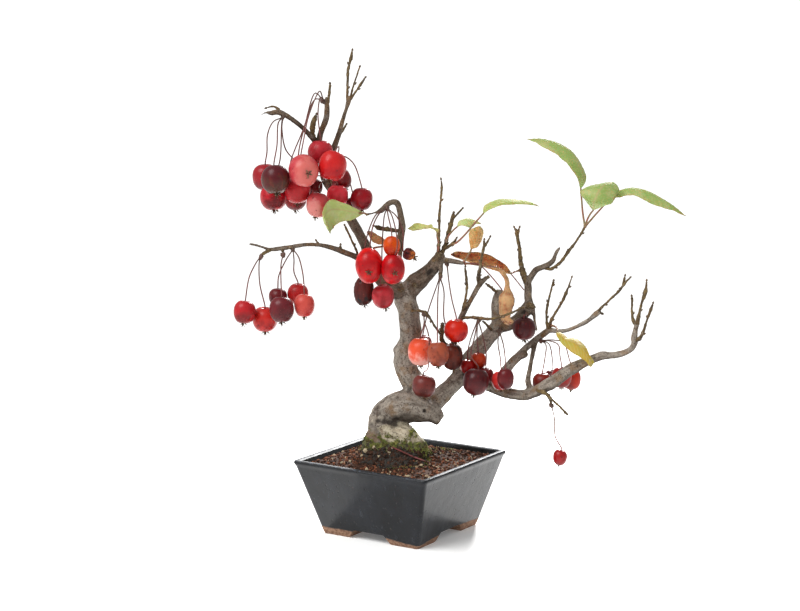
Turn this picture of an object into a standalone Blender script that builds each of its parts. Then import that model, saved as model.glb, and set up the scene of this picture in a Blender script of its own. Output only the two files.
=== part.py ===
"""A crabapple bonsai in a square glazed pot, modelled at its real size, in metres, +Z up.

The pot's sides lie along X and Y. The tree is drawn as it is seen from its front, which is turned
from the pot's front face. Every place on the tree is a reading off that front view, across and down
in picture steps, with its depth behind the pot's centre in millimetres.
"""

import math

import bmesh
import bpy
from mathutils import Matrix, Vector, noise
from mathutils.bvhtree import BVHTree

MM = 0.001

# The pot
POT_SIDE = 102.8 * MM
POT_BASE_SIDE = 74 * MM
POT_HEIGHT = 50 * MM
POT_CORNER_RADIUS = 3.2 * MM
WALL = 4.5 * MM
FLOOR_THICKNESS = 5 * MM
FOOT_HEIGHT = 6 * MM
FOOT_GAP = 34 * MM
FOOT_SLOPE = 6 * MM
DRAIN_RADIUS = 6.5 * MM
CORNER_STEPS = 3

# The soil, and the drain mesh under it
TOUCH = 0.3 * MM
SOIL_BELOW_RIM = 3 * MM
MOUND_HEIGHT = 9.5 * MM
MOUND_REACH = 26 * MM
GRAIN_RELIEF = 0.9 * MM
GRAIN_SPACING = 5 * MM
MESH_SIDE = 24 * MM
MESH_THICKNESS = 1.2 * MM
MESH_BARS = 3
MESH_BAR_WIDTH = 1.4 * MM
BAR_STEP = 0.05 * MM

HOLE_GAP = 0.5 * MM
BARK_RELIEF = 0.16

# How far a blunt end runs on past its last point, in radii; twigs under this half-width end flat
BLUNT_END = 0.6
THIN_TWIG = 1.6 * MM

# The front view: the eye's place before the pot's centre, the turn of the tree's front from the
# pot's, and the size and middle of the picture that the routes are read from
EYE_DISTANCE = 1357 * MM
EYE_HEIGHT = 375 * MM
EYE_PITCH = math.radians(9.42)
FRONT_TURN = math.radians(33)
PICTURE_FOCUS = 2111.6
PICTURE_MIDDLE = (400.8, 305.5)
STEP = 0.663 * MM

# Stalks and leaves
SEAT_STEP = 0.05 * MM
STALK_RADIUS = 0.5 * MM
STALK_SIDES = 3
KNOB_RADIUS = 1.3 * MM
APPLE_SIDES = 7
SEPALS = 5
LEAF_THICKNESS = 0.7 * MM
BLADE_STATIONS = 9
BLADE_FOLD = 0.14
NARROW_END = 1 * MM
TOOTH = 0.12
PETIOLE_RADIUS = 0.5 * MM

# Wood routes, thick to thin: (across, down, depth in mm, half-width in picture steps)
WOOD = {
    "root_crown": [(398, 487, 0, 17), (398, 472, 0, 23), (394, 457, 0, 25.5), (391, 444, 0, 24.5),
                   (387, 431, 0, 20), (385, 420, 0, 17), (386, 412, 0, 11)],
    "front_root": [(380, 431, -2, 10), (391, 433, -4, 12), (402, 436, -6, 13), (411, 443, -8, 13),
                   (417, 454, -9, 12), (420, 468, -9, 9)],
    "left_root": [(386, 428, 0, 12), (378, 438, -2, 13), (374, 450, -3, 12), (371, 466, -3, 9)],
    "back_root": [(390, 432, 4, 14), (402, 434, 14, 12), (412, 442, 20, 9), (418, 456, 24, 7)],
    "lower_trunk": [(382, 419, 0, 13), (389, 411, 0, 15), (399, 407, -1, 16), (411, 406, -2, 16.5),
                    (423, 409, -3, 13.5), (432, 413, -3, 10.5), (438, 418, -3, 7.5), (441, 420.5, -3, 5.5)],
    "trunk": [(414, 404, -1, 12), (419, 396, 1, 12.6), (415, 386, 3, 12.2), (408.5, 375, 5, 12),
              (405, 363, 6, 12), (406, 351, 5, 11.9), (409.5, 340, 4, 10.8), (410.5, 328, 3, 10.4),
              (409, 315, 1, 10.5), (406.5, 304, 0, 10.9), (406, 295, 0, 11.5), (409, 287, 0, 10)],
    "second_trunk": [(422, 409, 0, 10), (430, 405, 3, 9.6), (439, 398, 6, 9), (451, 386.5, 10, 8.4),
                     (462, 374, 13, 8.6), (469, 362, 16, 8.8), (476, 351.5, 18, 8.3), (484, 342, 19, 8),
                     (493, 332.5, 19, 8), (499, 324, 19, 7.5)],
    "left_limb": [(410, 294, 0, 10), (398, 290, -1, 9), (388, 284, -1, 7.8), (380, 276.5, 0, 7),
                  (374, 266, 2, 6.4), (369, 254, 4, 5.9), (363.5, 242, 6, 5.3), (357, 230, 8, 5),
                  (350, 218, 9, 4.8), (342, 205, 10, 4.6), (334, 193, 10, 4.4), (327.5, 183, 10, 4.3),
                  (324, 172, 9, 4), (325, 160, 8, 3.6), (329, 151, 7, 3.2)],
    "crown_limb": [(403, 296, 0, 9.5), (412, 287, -1, 9.5), (421, 279, -2, 8.6), (429, 271.5, -3, 7.8),
                   (436, 263.5, -4, 6.8), (439.5, 257, -4, 5.4), (439.5, 253, -4, 4)],
    "second_stub": [(499, 326, 19, 6.5), (497, 315, 21, 6), (496.5, 304, 23, 5.5),
                    (498.5, 296, 24, 5), (500, 289.5, 25, 3.6)],
    "knob_limb": [(496, 327, 19, 7), (506, 325.5, 17, 6.3), (515, 321.5, 15, 5.8), (523, 314, 13, 6.2),
                  (529, 307, 13, 6.6), (532, 303, 13, 4.5)],
    "right_limb": [(464, 377, 12, 7), (475, 380, 8, 6.4), (487, 385, 3, 5.7), (500, 390.5, -1, 5.6),
                   (512, 394, -5, 5.9), (523, 395, -9, 5.9), (534, 392, -12, 5.8), (546, 386, -15, 6.1),
                   (558, 378.5, -18, 6.1), (570, 370, -20, 5.7), (582, 363.5, -22, 4.9),
                   (593, 359, -23, 4.6), (602, 355.5, -24, 4.4), (612, 355.3, -25, 3.4),
                   (623, 353.3, -26, 3.3), (630.5, 349.5, -27, 3.2), (634.5, 343.5, -27, 3.3),
                   (634.3, 338, -27, 3.4), (635.5, 330, -27, 2.5), (637.6, 321, -28, 2.6)],
    "upper_limb": [(499, 391, 0, 4.5), (501.5, 380, 4, 5), (506, 370, 8, 5), (513, 361.5, 11, 4.6),
                   (521, 354, 13, 4.6), (526, 348, 14, 3.8), (534, 341.5, 14, 3.5), (542, 335.5, 13, 3.3),
                   (549, 330.5, 11, 3.3), (556, 331, 8, 2.3), (565, 330.8, 5, 2.1), (575, 327.3, 2, 2.1),
                   (584, 323, -1, 2.4), (590, 319, -3, 2.3), (596, 314, -5, 2.9), (599.5, 311, -6, 2.4)],
    "cut_stub": [(519, 356, 13, 3.8), (524, 354.5, 10, 3.8), (526, 354, 8, 3.2)],
    "trunk_stub": [(602, 356, -24, 3.2), (602.5, 352, -24, 2.4)],
    "cross_limb": [(530, 388, -10, 3.2), (528, 380, -6, 2.9), (530, 368, 0, 2.4), (532, 357, 6, 2.2),
                   (534, 348, 11, 2.3), (536, 341, 14, 2)],
    "middle_limb": [(466, 370, 15, 4), (456, 356, 10, 3.4), (454, 342, 5, 2.9), (457, 328, 1, 2.6),
                    (461.5, 317, -1, 2.8), (466, 308.5, -3, 2.8), (472, 298, -5, 2.4),
                    (478, 287, -6, 2.5), (483, 281, -7, 2.4), (487, 277.3, -8, 2.1)],
    "grey_stub": [(455, 353, 9, 2.4), (443, 342, 2, 2.2), (442, 333, 0, 2), (442.5, 325, -1, 2)],
    "lower_branch": [(377, 270, 1, 4.4), (367, 262.5, -3, 3.6), (356, 257, -7, 3.2), (345, 252.5, -11, 2.9),
                     (335, 248.7, -14, 2.7), (325, 246, -17, 2.4), (314, 244.6, -19, 2.1),
                     (302, 245, -21, 2), (291, 247, -23, 2.1), (280, 248.5, -24, 2.2),
                     (270, 249.5, -25, 1.9), (262, 247, -26, 1.3), (255, 245, -27, 1.3),
                     (249, 244, -28, 0.9)],
    "fruit_spur": [(392, 285, -2, 4), (396, 268, -4, 3.6), (399, 252, -6, 3.5), (400.5, 238, -7, 3.5),
                   (402, 225, -8, 3.3), (399.8, 211, -9, 3), (397, 203, -10, 3.2), (391, 202.3, -11, 3),
                   (385.5, 206.3, -12, 2.7), (380.5, 211, -13, 2.6), (374, 213, -14, 1.1),
                   (367, 214.5, -15, 1.6)],
    "fork_trunk": [(530, 308, 13, 5), (528, 297, 14, 3.9), (528, 287, 15, 3.8), (527.3, 280, 15, 3.9)],
    "fork_left": [(527, 283, 15, 3.2), (523.3, 274, 17, 2.9), (520.7, 262, 20, 2.2), (519.7, 250, 22, 1.8),
                  (517.6, 238, 24, 1.7), (516.8, 232, 25, 1.8), (514.8, 228, 25, 0.9)],
    "fork_left_tip": [(517.3, 234, 25, 1.3), (519.3, 228, 26, 1.0)],
    "fork_right": [(527, 284, 15, 3.4), (532, 275.5, 14, 3.3), (536.5, 269.5, 12, 3.1), (543, 267, 10, 2.9),
                   (549, 264.3, 8, 3), (553.5, 260, 7, 2.6), (555, 255.5, 6, 2), (557.3, 251, 5, 1.8),
                   (560.3, 247, 4, 1)],
    "leader": [(544, 267.5, 10, 2), (550.5, 269, 8, 1.7), (556, 266, 6, 1.5), (562, 260.7, 4, 1.5),
               (568, 252, 2, 1.6), (575, 243, 0, 1.2), (581, 234, -2, 1.1), (584.6, 227.5, -3, 1.3)],
    "knob_spur": [(532, 306, 13, 3), (534, 315, 12, 1.9), (535, 323, 11, 1.3), (537, 331, 10, 1.3)],
    "top_right": [(326, 156, 8, 3.3), (333, 149, 6, 3), (336.5, 141, 4, 2.8), (339.5, 132, 2, 2.5),
                  (342.5, 121, 0, 2.2), (346, 110, -2, 1.9), (348.7, 101, -3, 2.7), (350, 96, -4, 2.3)],
    "top_leader": [(348, 101, -3, 1.8), (347.4, 95, -3, 1.3), (347.6, 83, -4, 1.2), (348, 71, -5, 1.4),
                   (349.8, 62, -5, 1.2), (351.3, 57, -6, 1.5), (352, 51, -6, 0.8)],
    "dark_twig": [(350.5, 97, -4, 1.1), (354, 84, -1, 0.8), (359.5, 67.5, 3, 0.8)],
    "top_side": [(351, 99, -4, 1.4), (356.5, 90.5, -7, 1), (361, 84, -9, 1.3), (365, 78, -11, 0.9)],
    "top_stub": [(339, 135, 2, 1.6), (343, 130, 5, 1.1), (346, 125, 7, 1.1)],
    "top_centre": [(326, 158, 8, 3.2), (320, 147, 5, 3.2), (320, 136, 3, 3.1), (323.5, 126, 1, 3),
                   (326.5, 117, 0, 2.8), (327, 107, -1, 2.6), (326, 99, -1, 2.3)],
    "black_stub": [(328, 103, -1, 1.6), (329.5, 92, 0, 1.3), (330, 84.5, 1, 1.3)],
    "pale_stub": [(317, 143, 3, 2), (312.6, 134, 0, 2.2), (313, 124, -2, 2.7), (316, 115, -3, 1.4)],
    "top_left": [(321, 149, 5, 2.9), (313, 139, 0, 2.8), (304, 129, -5, 2.4), (295, 121.5, -9, 2.3),
                 (287, 116, -12, 2.7), (278.5, 112, -15, 3), (271, 113, -17, 2.2), (266, 112.5, -18, 1),
                 (260, 115.5, -19, 0.6)],
    "top_left_claw": [(279, 110, -14, 1.8), (274, 106.5, -13, 0.9), (267, 107.5, -12, 0.6)],
    "dark_side_twig": [(356, 256, -7, 1.4), (357, 252, -8, 1.2), (351.5, 240, -12, 1), (345, 226, -16, 1.1)],
    "side_spur": [(401, 231, -7, 1.8), (389, 229.7, -3, 1.9), (379, 228, 0, 2.1), (375, 226, 1, 1.4)],
    "crown_twig": [(438.7, 256, -4, 2.4), (438.6, 245, -4, 1.7), (439.2, 232, -3, 1.2), (439.4, 215, -2, 1.3),
                   (440.6, 200, -1, 1), (441.8, 188, 0, 1.2), (441.3, 180, 0, 0.6)],
    "crown_spur": [(440.5, 256, -4, 2.6), (445, 246, -1, 2.1), (447.5, 236, 2, 1.8), (450.5, 226, 5, 2.3),
                   (452.5, 218.5, 7, 2.1), (453.6, 213.5, 8, 1.7)],
    "crown_spur_tip": [(452.5, 219.5, 7, 1.2), (456.5, 215, 10, 1), (462, 209, 14, 1)],
    "crown_bud": [(443, 250, -2, 1.6), (450, 245.5, -7, 1.5), (454, 242, -10, 1.4), (456.3, 238.5, -12, 0.7)],
    "crown_arm": [(438, 260, -4, 3), (448, 260.5, -7, 2.7), (457, 262, -10, 2.5), (464.5, 263.5, -12, 1.7)],
    "crown_pendant": [(440.5, 262, -6, 3), (441, 270, -9, 2.3), (440, 276.5, -10, 1.9)],
    "trunk_twig": [(409, 311, -3, 2), (419, 310.8, -11, 1.3), (426, 313.3, -15, 1.8), (431, 320, -15, 1.1),
                   (436, 328, -13, 1.1), (440.5, 334.5, -11, 1.2)],
    "middle_joint": [(463, 312, -2, 2), (465.3, 306, -4, 2.8), (465.4, 300, -5, 1.2), (467, 287, -6, 1.3),
                     (465.6, 272, -5, 1.1), (465.3, 267.5, -5, 0.9)],
    "middle_twig": [(480, 286, -6, 2.3), (478.5, 278, -8, 2), (480, 268, -14, 1.5), (482, 256, -15.5, 1.3),
                    (484, 246, -15, 1.5), (484.3, 240.5, -16, 0.9)],
    "middle_twig_tip": [(483.6, 248, -15, 1.2), (487, 243, -16, 1.1), (489.8, 237.5, -17, 0.8)],
    "long_twig": [(461, 318, -1, 1.6), (470, 317.5, -5, 1.3), (478, 318, -9, 1.6), (489, 319, -14, 1.2),
                  (500, 317, -18, 1.2), (512, 312.5, -19, 1), (524, 307, -18, 0.9)],
    "stub_twig": [(500, 295, 24, 1.7), (494, 290, 22, 1.4), (487, 284.5, 19, 1.3)],
    "hook_twig": [(492, 331, 16, 1.7), (488, 326, 12, 1.2), (484, 322, 9, 1)],
    "upper_twig": [(548, 331, 11, 2.1), (546.6, 319, 14, 1.2), (547, 308, 17, 1.3), (549.5, 297, 19, 1),
                   (552, 287, 21, 1), (553.5, 281.5, 22, 1.5)],
    "upper_twig_front": [(548.5, 330, 11, 2), (551, 321, 8, 1.6), (556, 312, 5, 1.2), (561.5, 303, 2, 1.2),
                         (565.5, 294.5, 0, 1.5), (568, 288, -2, 1), (571.6, 278, -4, 0.6)],
    "upper_limb_tip": [(597, 313, -5, 2), (602, 307, -7, 1.3), (610, 299.5, -9, 1.1),
                       (619.3, 290.7, -12, 1.3), (625, 283, -14, 1.1), (629.6, 278.2, -15, 0.8)],
    "upper_limb_bud": [(622.5, 287, -13, 1), (624, 281, -13, 1.3), (624.8, 276.5, -13, 0.7)],
    "upper_limb_stub": [(598, 312, -5, 2.2), (601.3, 313, -5, 1.8)],
    "right_tip_middle": [(637, 324, -28, 2.4), (639.6, 312, -29, 1.5), (642, 302, -30, 1.3),
                         (645, 294, -31, 2), (646.2, 287, -32, 1.4), (646.7, 281.5, -32, 0.8)],
    "right_tip_left": [(636.5, 326, -27, 1.8), (633.2, 320.5, -25, 1.6), (632, 311, -23, 1.1),
                       (632, 303, -22, 1.1), (632, 297, -21, 1.5)],
    "right_tip_right": [(635, 341, -27, 2.4), (640, 338, -30, 1.8), (643.6, 331, -33, 1.5),
                        (646.5, 321.5, -35, 1), (650, 312, -37, 1.4), (652.8, 304, -38, 1)],
    "pendant_twig": [(538, 390, -15, 2.6), (546, 394, -20, 1.9), (552, 399.5, -22, 1.3), (558, 405, -23, 1.1),
                     (563, 410, -23, 1.1), (566.4, 413.5, -23, 1.9)],
    "pendant_spur": [(547, 394, -20, 1.7), (550, 400, -18, 1.3), (551.6, 403.5, -17, 1.2)],
    "left_branch_spur": [(271, 249.5, -25, 1.8), (266, 252, -26, 1.7), (261.5, 255, -27, 1.1)],
    "left_branch_knob": [(282, 248.6, -24, 1.6), (283.3, 252.3, -25, 1.5)],
    "left_branch_bud": [(319, 245, -18, 1.6), (316.8, 241.3, -18, 1.1)],
    "left_branch_stub": [(340, 250, -13, 2), (340.3, 245.8, -13, 1.5)],
}

# Apple bunches: where the knob sits on the wood (across, down, depth, and the way it faces: right,
# away, up), then each apple: (across, down, depth, half-width, half-height, lean right, lean away,
# then the points that its stalk bends through, each across, down, depth)
DOWN = (0, 0, -1)
BUNCHES = {
    "apples_top_left": ((283, 114.5, -14), DOWN, [
        (265.5, 177, 2, 12.6, 13, 0, 0, [(281, 125, -9), (275, 148, -2)]),
        (275.5, 179.5, -24, 13.6, 14.2, 0.1, -0.2, [(278, 124, -17), (277, 145, -21)]),
        (273.5, 197.5, -8, 13, 12.6, 0.1, -0.1, [(281, 128, -14), (280, 160, -14)]),
        (299.5, 177, 2, 10.5, 10.8, 0, 0.1, [(282, 130, -12), (286, 150, -4)])]),
    "apples_top": ((324, 101, -1), (-0.8, -0.3, 0.3), [
        (304, 170.5, -26, 14.2, 15.4, 0.1, -0.2, [(319, 91.5, -8), (309, 115, -13), (304, 138, -18)]),
        (297.5, 190, -14, 12.6, 13.2, 0, 0, [(314, 94, -6), (305, 125, -11), (299, 150, -12)]),
        (320.5, 152.8, -6, 12.3, 12.4, 0, 0, [(320, 98, -8), (318, 115, -7)]),
        (295.5, 199, 9, 10.8, 11.4, 0, 0, [(313.5, 101, 4), (303, 130, 8), (290, 165, 12)])]),
    "apples_top_middle": ((327, 178, 6), (0.2, -1, 0), [
        (317.5, 205, -19, 11, 12.6, -0.2, -0.1, [(323, 181, -4), (319, 187, -12)]),
        (337.5, 196, -8, 10.6, 11, 0, -0.1, [(331, 178, -4), (335, 181, -7)]),
        (314.5, 187.5, 9, 8.2, 8.6, 0, 0, [(322, 176, 1), (316, 176, 5)])]),
    "apples_top_right": ((327, 157, 6), (0.8, -0.6, 0), [
        (332.5, 166, -22, 13.4, 15, -0.25, -0.2, [(337, 155, 0), (339, 147, -12)]),
        (340.5, 179.5, 4, 10.6, 11, 0.5, 0, [(335, 157, 2), (340, 162, 3)]),
        (361.5, 199.3, -10, 10.6, 11.4, 0, 0, [(338, 157, -3), (346, 157, -4), (355, 166, -5)]),
        (353.5, 204.5, 2, 7.6, 7.4, 0, 0, [(338, 160, 3), (347, 174, 4)])]),
    "apples_left_tip": ((262.5, 254.5, -27), (-0.6, 0, -0.8), [
        (244.5, 312, -34, 10.6, 11.6, -0.1, -0.1, [(256, 263, -30), (249, 278, -33)]),
        (265, 319.5, -26, 12, 12.5, 0, 0, [(259, 266, -28), (260, 285, -27)])]),
    "apples_left_middle": ((283, 252, -25), DOWN, [
        (281.7, 309.5, -42, 11.7, 12.8, 0, -0.15, [(281, 265, -30), (281, 282, -38)])]),
    "apples_left_inner": ((293, 248, -23), DOWN, [
        (278, 297, -18, 8.8, 9, 0, 0, [(286, 260, -23), (279, 275, -20)]),
        (298, 294, -16, 10.2, 10.4, 0, 0, [(294, 260, -22), (294, 272, -18)]),
        (304.3, 305.6, -36, 10, 11.6, 0, -0.1, [(299, 258, -26), (303, 275, -31)])]),
    "apples_centre": ((387, 205, -12), (0.1, -0.5, -0.8), [
        (369, 265.8, -25, 13.1, 17.2, 0, -0.8, [(379, 214, -18), (372, 230, -22)]),
        (391.8, 246, -27, 8.3, 9.6, 0, -0.3, [(388, 215, -18), (391, 228, -23)]),
        (393.2, 268.8, -28, 11.6, 14.8, 0.1, -0.8, [(392, 216, -20), (396, 232, -32), (397, 248, -36)]),
        (364, 291, -8, 10.3, 15, 0.05, 0, [(375, 216, -21), (366, 240, -13), (364, 260, -9)]),
        (383.3, 296.5, -18, 10.8, 12, 0.25, 0, [(384, 218, -16), (382, 250, -16), (382, 270, -17)]),
        (409, 254.2, -14, 6.4, 6.2, 1.4, 0, [(397, 217, -17), (403, 232, -16)])]),
    "apples_crown": ((440, 276, -10), DOWN, [
        (423, 344.5, 17, 9, 9.5, 0, 0, [(435, 291, -2), (428, 312, 9)]),
        (438, 354.3, -26, 10.7, 12.6, 0.05, -0.1, [(438, 294, -17), (437.5, 318, -21)]),
        (452.4, 356.5, -8, 10.6, 14.2, 0.1, 0.1, [(444, 292, -9), (444, 318, -8)])]),
    "apple_crown_arm": ((447, 263, -7), DOWN, [
        (456.3, 330.6, -15, 11.6, 11.6, 0, 0, [(449, 282, -10), (452, 300, -13)])]),
    "apples_trunk_twig": ((424.5, 313, -15), (-0.3, -0.5, -0.8), [
        (420.7, 352, -13, 12.2, 14.2, 0, -0.1, [(424, 324, -17)]),
        (424.2, 386, -18, 11.8, 11.6, 0.05, -0.1, [(424.5, 322, -20), (429, 338, -22), (428.5, 366, -20)])]),
    "apples_inner": ((478, 318, -9), DOWN, [
        (476, 382, -16, 12.9, 13.7, -0.15, -0.1, [(475, 335, -12), (471, 355, -15)]),
        (486, 375.5, -5, 7.6, 8, 0, 0, [(482, 333, -4), (486, 352, -4)]),
        (478.3, 361, 0, 7.9, 8.4, 0, 0, [(477, 335, -3)]),
        (467.5, 367, -2, 7.2, 7.4, 0, 0, [(472, 335, -6), (468, 350, -5)])]),
    "apples_fork": ((499, 330, 14), (0.1, -1, -0.6), [
        (501, 380.5, -13, 9.4, 9.8, 0, -0.1, [(498, 343, 4), (500, 356, -5)]),
        (505.5, 379, -29, 8, 10.6, 0, 0, [(503, 343, 3), (505, 356, -14)])]),
    "apple_knob": ((527, 311, 13), (0, -0.9, -0.4), [
        (524.4, 328.8, 3, 11.4, 11.6, 0.05, 0, [(526, 315, 5)])]),
    "apples_lower_right": ((540, 338, 13), (0.2, -0.5, -0.8), [
        (542.5, 382.5, -1, 9.8, 10, 0, 0, [(546, 345, 7), (545, 358, 3)]),
        (552, 378, 10, 8.2, 8.6, 0, 0, [(549, 344, 9), (552, 356, 10)]),
        (561.5, 377.5, -2, 10.2, 10.6, 0, 0, [(550, 341, 6), (558.5, 345, 2), (560, 356, 0)]),
        (571.2, 379.2, 12, 10, 11, 0, 0, [(553, 340, 9), (564, 343, 10), (569, 358, 11)])]),
    "apple_pendant": ((551.5, 403, -17), DOWN, [
        (560, 457.3, -22, 7, 8.2, -0.2, 0, [(554.4, 418, -19), (555.2, 436, -21)])]),
}

# Leaves: where the stalk sits on the wood, the way it faces, the points that the stalk bends
# through, then stations from base to tip, each with both edges: (across, down, depth) twice
LEAVES = {
    "leaf_left": ((367, 214.5, -15), (-1, -0.2, 0.1), [(364.6, 213.3, -16)], [
        ((363.5, 212.6, -16), (363.5, 213.6, -16)), ((352, 206.5, -22), (353, 219.6, -18)),
        ((341, 202, -28), (341, 222.4, -20)), ((330.5, 199.5, -32), (335, 226, -23)),
        ((323.6, 209.5, -35), (333, 229, -27)), ((326, 222.5, -35), (331.4, 231, -31)),
        ((330, 233.5, -34), (330.4, 233.5, -34))]),
    "leaf_crown_left": ((438.6, 252, -5), (-0.5, -1, 0), [(438.4, 243, -10), (437.2, 236, -12)], [
        ((436.8, 233, -12), (437.6, 233, -12)), ((431.6, 224.5, -8), (438.4, 229, -14)),
        ((427.6, 225.4, -8), (428, 227.4, -13)), ((417, 223, -6), (414.5, 229.6, -14)),
        ((407.5, 228.6, -10), (407.7, 229, -10))]),
    "leaf_crown_middle": ((446.5, 243, 0), (-0.2, -1, 0), [(446.5, 239, -6), (452, 231.5, -9)], [
        ((456.6, 226.8, -8), (457.4, 227, -8)), ((460, 222.4, -4), (461, 226, -11)),
        ((465, 220.8, -2), (466, 226.3, -13)), ((470, 220.2, -1), (472, 227.4, -12)),
        ((476, 221.8, -2), (475.6, 224.6, -9)), ((481, 223.4, -5), (481, 223.9, -5))]),
    "leaf_crown_long": ((452, 243.6, -9), (0.4, -1, -0.2), [
        (458, 241.5, -13), (466, 233.5, -14), (474, 224, -14)], [
        ((482.8, 213.6, -13), (483.6, 213.8, -13)), ((484.8, 206, -6), (489, 209.8, -17)),
        ((491.5, 202.4, -2), (497, 206.4, -18)), ((501, 200, 1), (506, 204.8, -16)),
        ((514.5, 200.6, 1), (517, 204.4, -13)), ((527.5, 201.8, 0), (528.5, 204.4, -9)),
        ((539, 206, -5), (539.2, 206.4, -5))]),
    "leaf_ochre": ((464, 262, -12), (0.2, -0.2, 1), [(468, 255, -13), (470.4, 251.6, -13)], [
        ((470.8, 249.4, -13), (471.6, 249.4, -13)), ((468.8, 240, -17), (478.5, 246, -11)),
        ((468.6, 233, -18), (482, 239.5, -9)), ((472, 228.7, -16), (483.6, 231, -9)),
        ((478.6, 226, -13), (480.4, 226.2, -12))]),
    "leaf_dry_long": ((520.8, 270.5, 18), (-1, -0.4, 0), [(516, 271.3, 11), (513, 272.6, 7)], [
        ((511, 272.4, 5), (510.4, 274, 4)), ((505.6, 264.4, 3), (504, 271.6, -1)),
        ((499, 259, 1), (496.5, 268.4, -4)), ((489, 254, 0), (486, 266.2, -4)),
        ((478, 251.2, 0), (475, 262.4, -4)), ((467, 252, -2), (464, 259.6, -4)),
        ((458, 251.6, -4), (456.5, 258, -4)), ((451, 254, -5), (451, 255, -5))]),
    "leaf_dry_hanging": ((464.5, 263.5, -12), (1, -0.2, -0.2), [(472, 264, -9.5), (484, 266, -7.5)], [
        ((497, 266.6, -8), (496.6, 267.8, -8)), ((503.4, 271, -7), (501, 274.5, -9)),
        ((508.6, 280, -6), (505, 281.5, -8)), ((510, 288, -7), (504, 289.5, -7)),
        ((514.8, 298.6, -13), (500.8, 297, -6)), ((513.4, 308.6, -14), (500.8, 307, -6)),
        ((510.4, 316.6, -12), (502.4, 316, -6)), ((513.6, 321.4, -10), (503.4, 321.4, -7)),
        ((508.4, 325.4, -8), (507.6, 325.4, -8))]),
    "leaf_yellow": ((552, 325.5, 8), (0.5, -0.5, 0.3), [(556, 327, 1), (557.6, 330.5, -8)], [
        ((557.6, 332, -10), (556, 333.2, -11)), ((563, 333.5, -14), (557.6, 338, -19)),
        ((567.5, 337.6, -17), (563.4, 345.4, -26)), ((576, 338.6, -20), (571.6, 352.4, -33)),
        ((585, 345.6, -27), (580, 357.4, -37)), ((589.6, 354.8, -35), (585.8, 361.6, -38)),
        ((594, 361.4, -36), (588.6, 365.6, -37)), ((591.4, 367, -37), (590.4, 367, -37))]),
    "leaf_dry_small": ((367, 252, 4), (0.3, -1, 0.2), [(374, 248, -2), (384, 246, -4)], [
        ((387, 241.5, -6), (386, 243.5, -6)), ((381.5, 236.5, -10), (379.5, 245, -5)),
        ((375, 233, -11), (372.5, 242.5, -6)), ((369.5, 231.2, -10), (368.5, 235.5, -8)),
        ((367, 231.4, -8), (366.8, 232.2, -8))]),
}

SHOOT_SEAT = (585, 227, -3)
SHOOT = {
    "left_blade": ([(582.8, 213, 2), (581.6, 199, 4)], [
        ((580.4, 189, 5), (581.2, 189, 5)), ((577, 178.6, 0), (586, 179, 9)),
        ((569.5, 166, -2), (580.4, 166.4, 14)),
        ((559, 156.6, 0), (571.5, 153.6, 18)), ((547.5, 149.2, 4), (558.6, 146, 20)),
        ((537, 143.6, 9), (545, 141.2, 19)), ((527, 139, 15), (527.4, 139.3, 15))]),
    "front_blade": ([(587.6, 219, -6), (591, 213, -9)], [
        ((592.8, 210.2, -10), (593.6, 210.4, -10)), ((584.4, 199.6, -14), (603.6, 206, -15)),
        ((580, 191.4, -15), (612.4, 203, -18)), ((588, 186.8, -10), (617.2, 194.4, -15)),
        ((602, 184, -3), (619, 188, -9)), ((613, 182.4, 1), (614, 182.6, 0))]),
    "right_blade": ([(590, 221, -1), (597, 213, 2)], [
        ((603, 206, 4), (603.6, 206.4, 4)), ((612, 194.6, 7), (612, 200, 1)),
        ((618, 191.8, 9), (617, 197.6, -1)),
        ((632, 190.2, 10), (633, 195.6, -4)), ((646, 192.6, 9), (644.5, 200.2, -7)),
        ((660, 199.2, 6), (658, 206.4, -8)), ((672, 206.6, 2), (670.5, 209.6, -7)),
        ((686, 216, -4), (686, 216.4, -4))]),
}


def clear_scene():
    """Takes the startup objects away."""
    for obj in list(bpy.data.objects):
        bpy.data.objects.remove(obj)


def material(name, colour, roughness, metallic=0.0):
    """A Principled surface in the part's own colour."""
    made = bpy.data.materials.new(name)
    made.use_nodes = True
    shader = made.node_tree.nodes["Principled BSDF"]
    shader.inputs["Base Color"].default_value = (*colour, 1)
    shader.inputs["Roughness"].default_value = roughness
    shader.inputs["Metallic"].default_value = metallic
    return made


def add_object(name, mesh, surface=None):
    """Links a mesh into the scene as one named object."""
    obj = bpy.data.objects.new(name, mesh)
    bpy.context.scene.collection.objects.link(obj)
    if surface:
        mesh.materials.append(surface)
    return obj


def seen(across, down, depth):
    """The point that the front view shows at this place, depth millimetres behind the pot's centre."""
    right = (across - PICTURE_MIDDLE[0]) / PICTURE_FOCUS
    above = (PICTURE_MIDDLE[1] - down) / PICTURE_FOCUS
    forward = math.cos(EYE_PITCH) + above * math.sin(EYE_PITCH)
    upward = above * math.cos(EYE_PITCH) - math.sin(EYE_PITCH)
    reach = (EYE_DISTANCE + depth * MM) / forward
    return facing(right * reach, depth * MM, EYE_HEIGHT + upward * reach)


def facing(right, away, up):
    """Turns a vector of the front view into the pot's axes."""
    return Matrix.Rotation(FRONT_TURN, 3, "Z") @ Vector((right, away, up))


def along(points, count):
    """Points evenly numbered along a smooth curve through the given ones."""
    padded = [2 * points[0] - points[1], *points, 2 * points[-1] - points[-2]]
    spans = len(points) - 1
    found = []
    for k in range(count + 1):
        at = k * spans / count
        i = min(int(at), spans - 1)
        t = at - i
        a, b, c, d = padded[i : i + 4]
        slope, bend, twist = c - a, 2 * a - 5 * b + 4 * c - d, 3 * b - a - 3 * c + d
        found.append(0.5 * (2 * b + slope * t + bend * t * t + twist * t**3))
    return found


def mesh_from(name, vertices, faces):
    """A mesh from points and faces, its faces turned outward."""
    made = bmesh.new()
    corners = [made.verts.new(v) for v in vertices]
    for face in faces:
        made.faces.new([corners[i] for i in face])
    bmesh.ops.recalc_face_normals(made, faces=made.faces)
    mesh = bpy.data.meshes.new(name)
    made.to_mesh(mesh)
    made.free()
    return mesh


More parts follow.
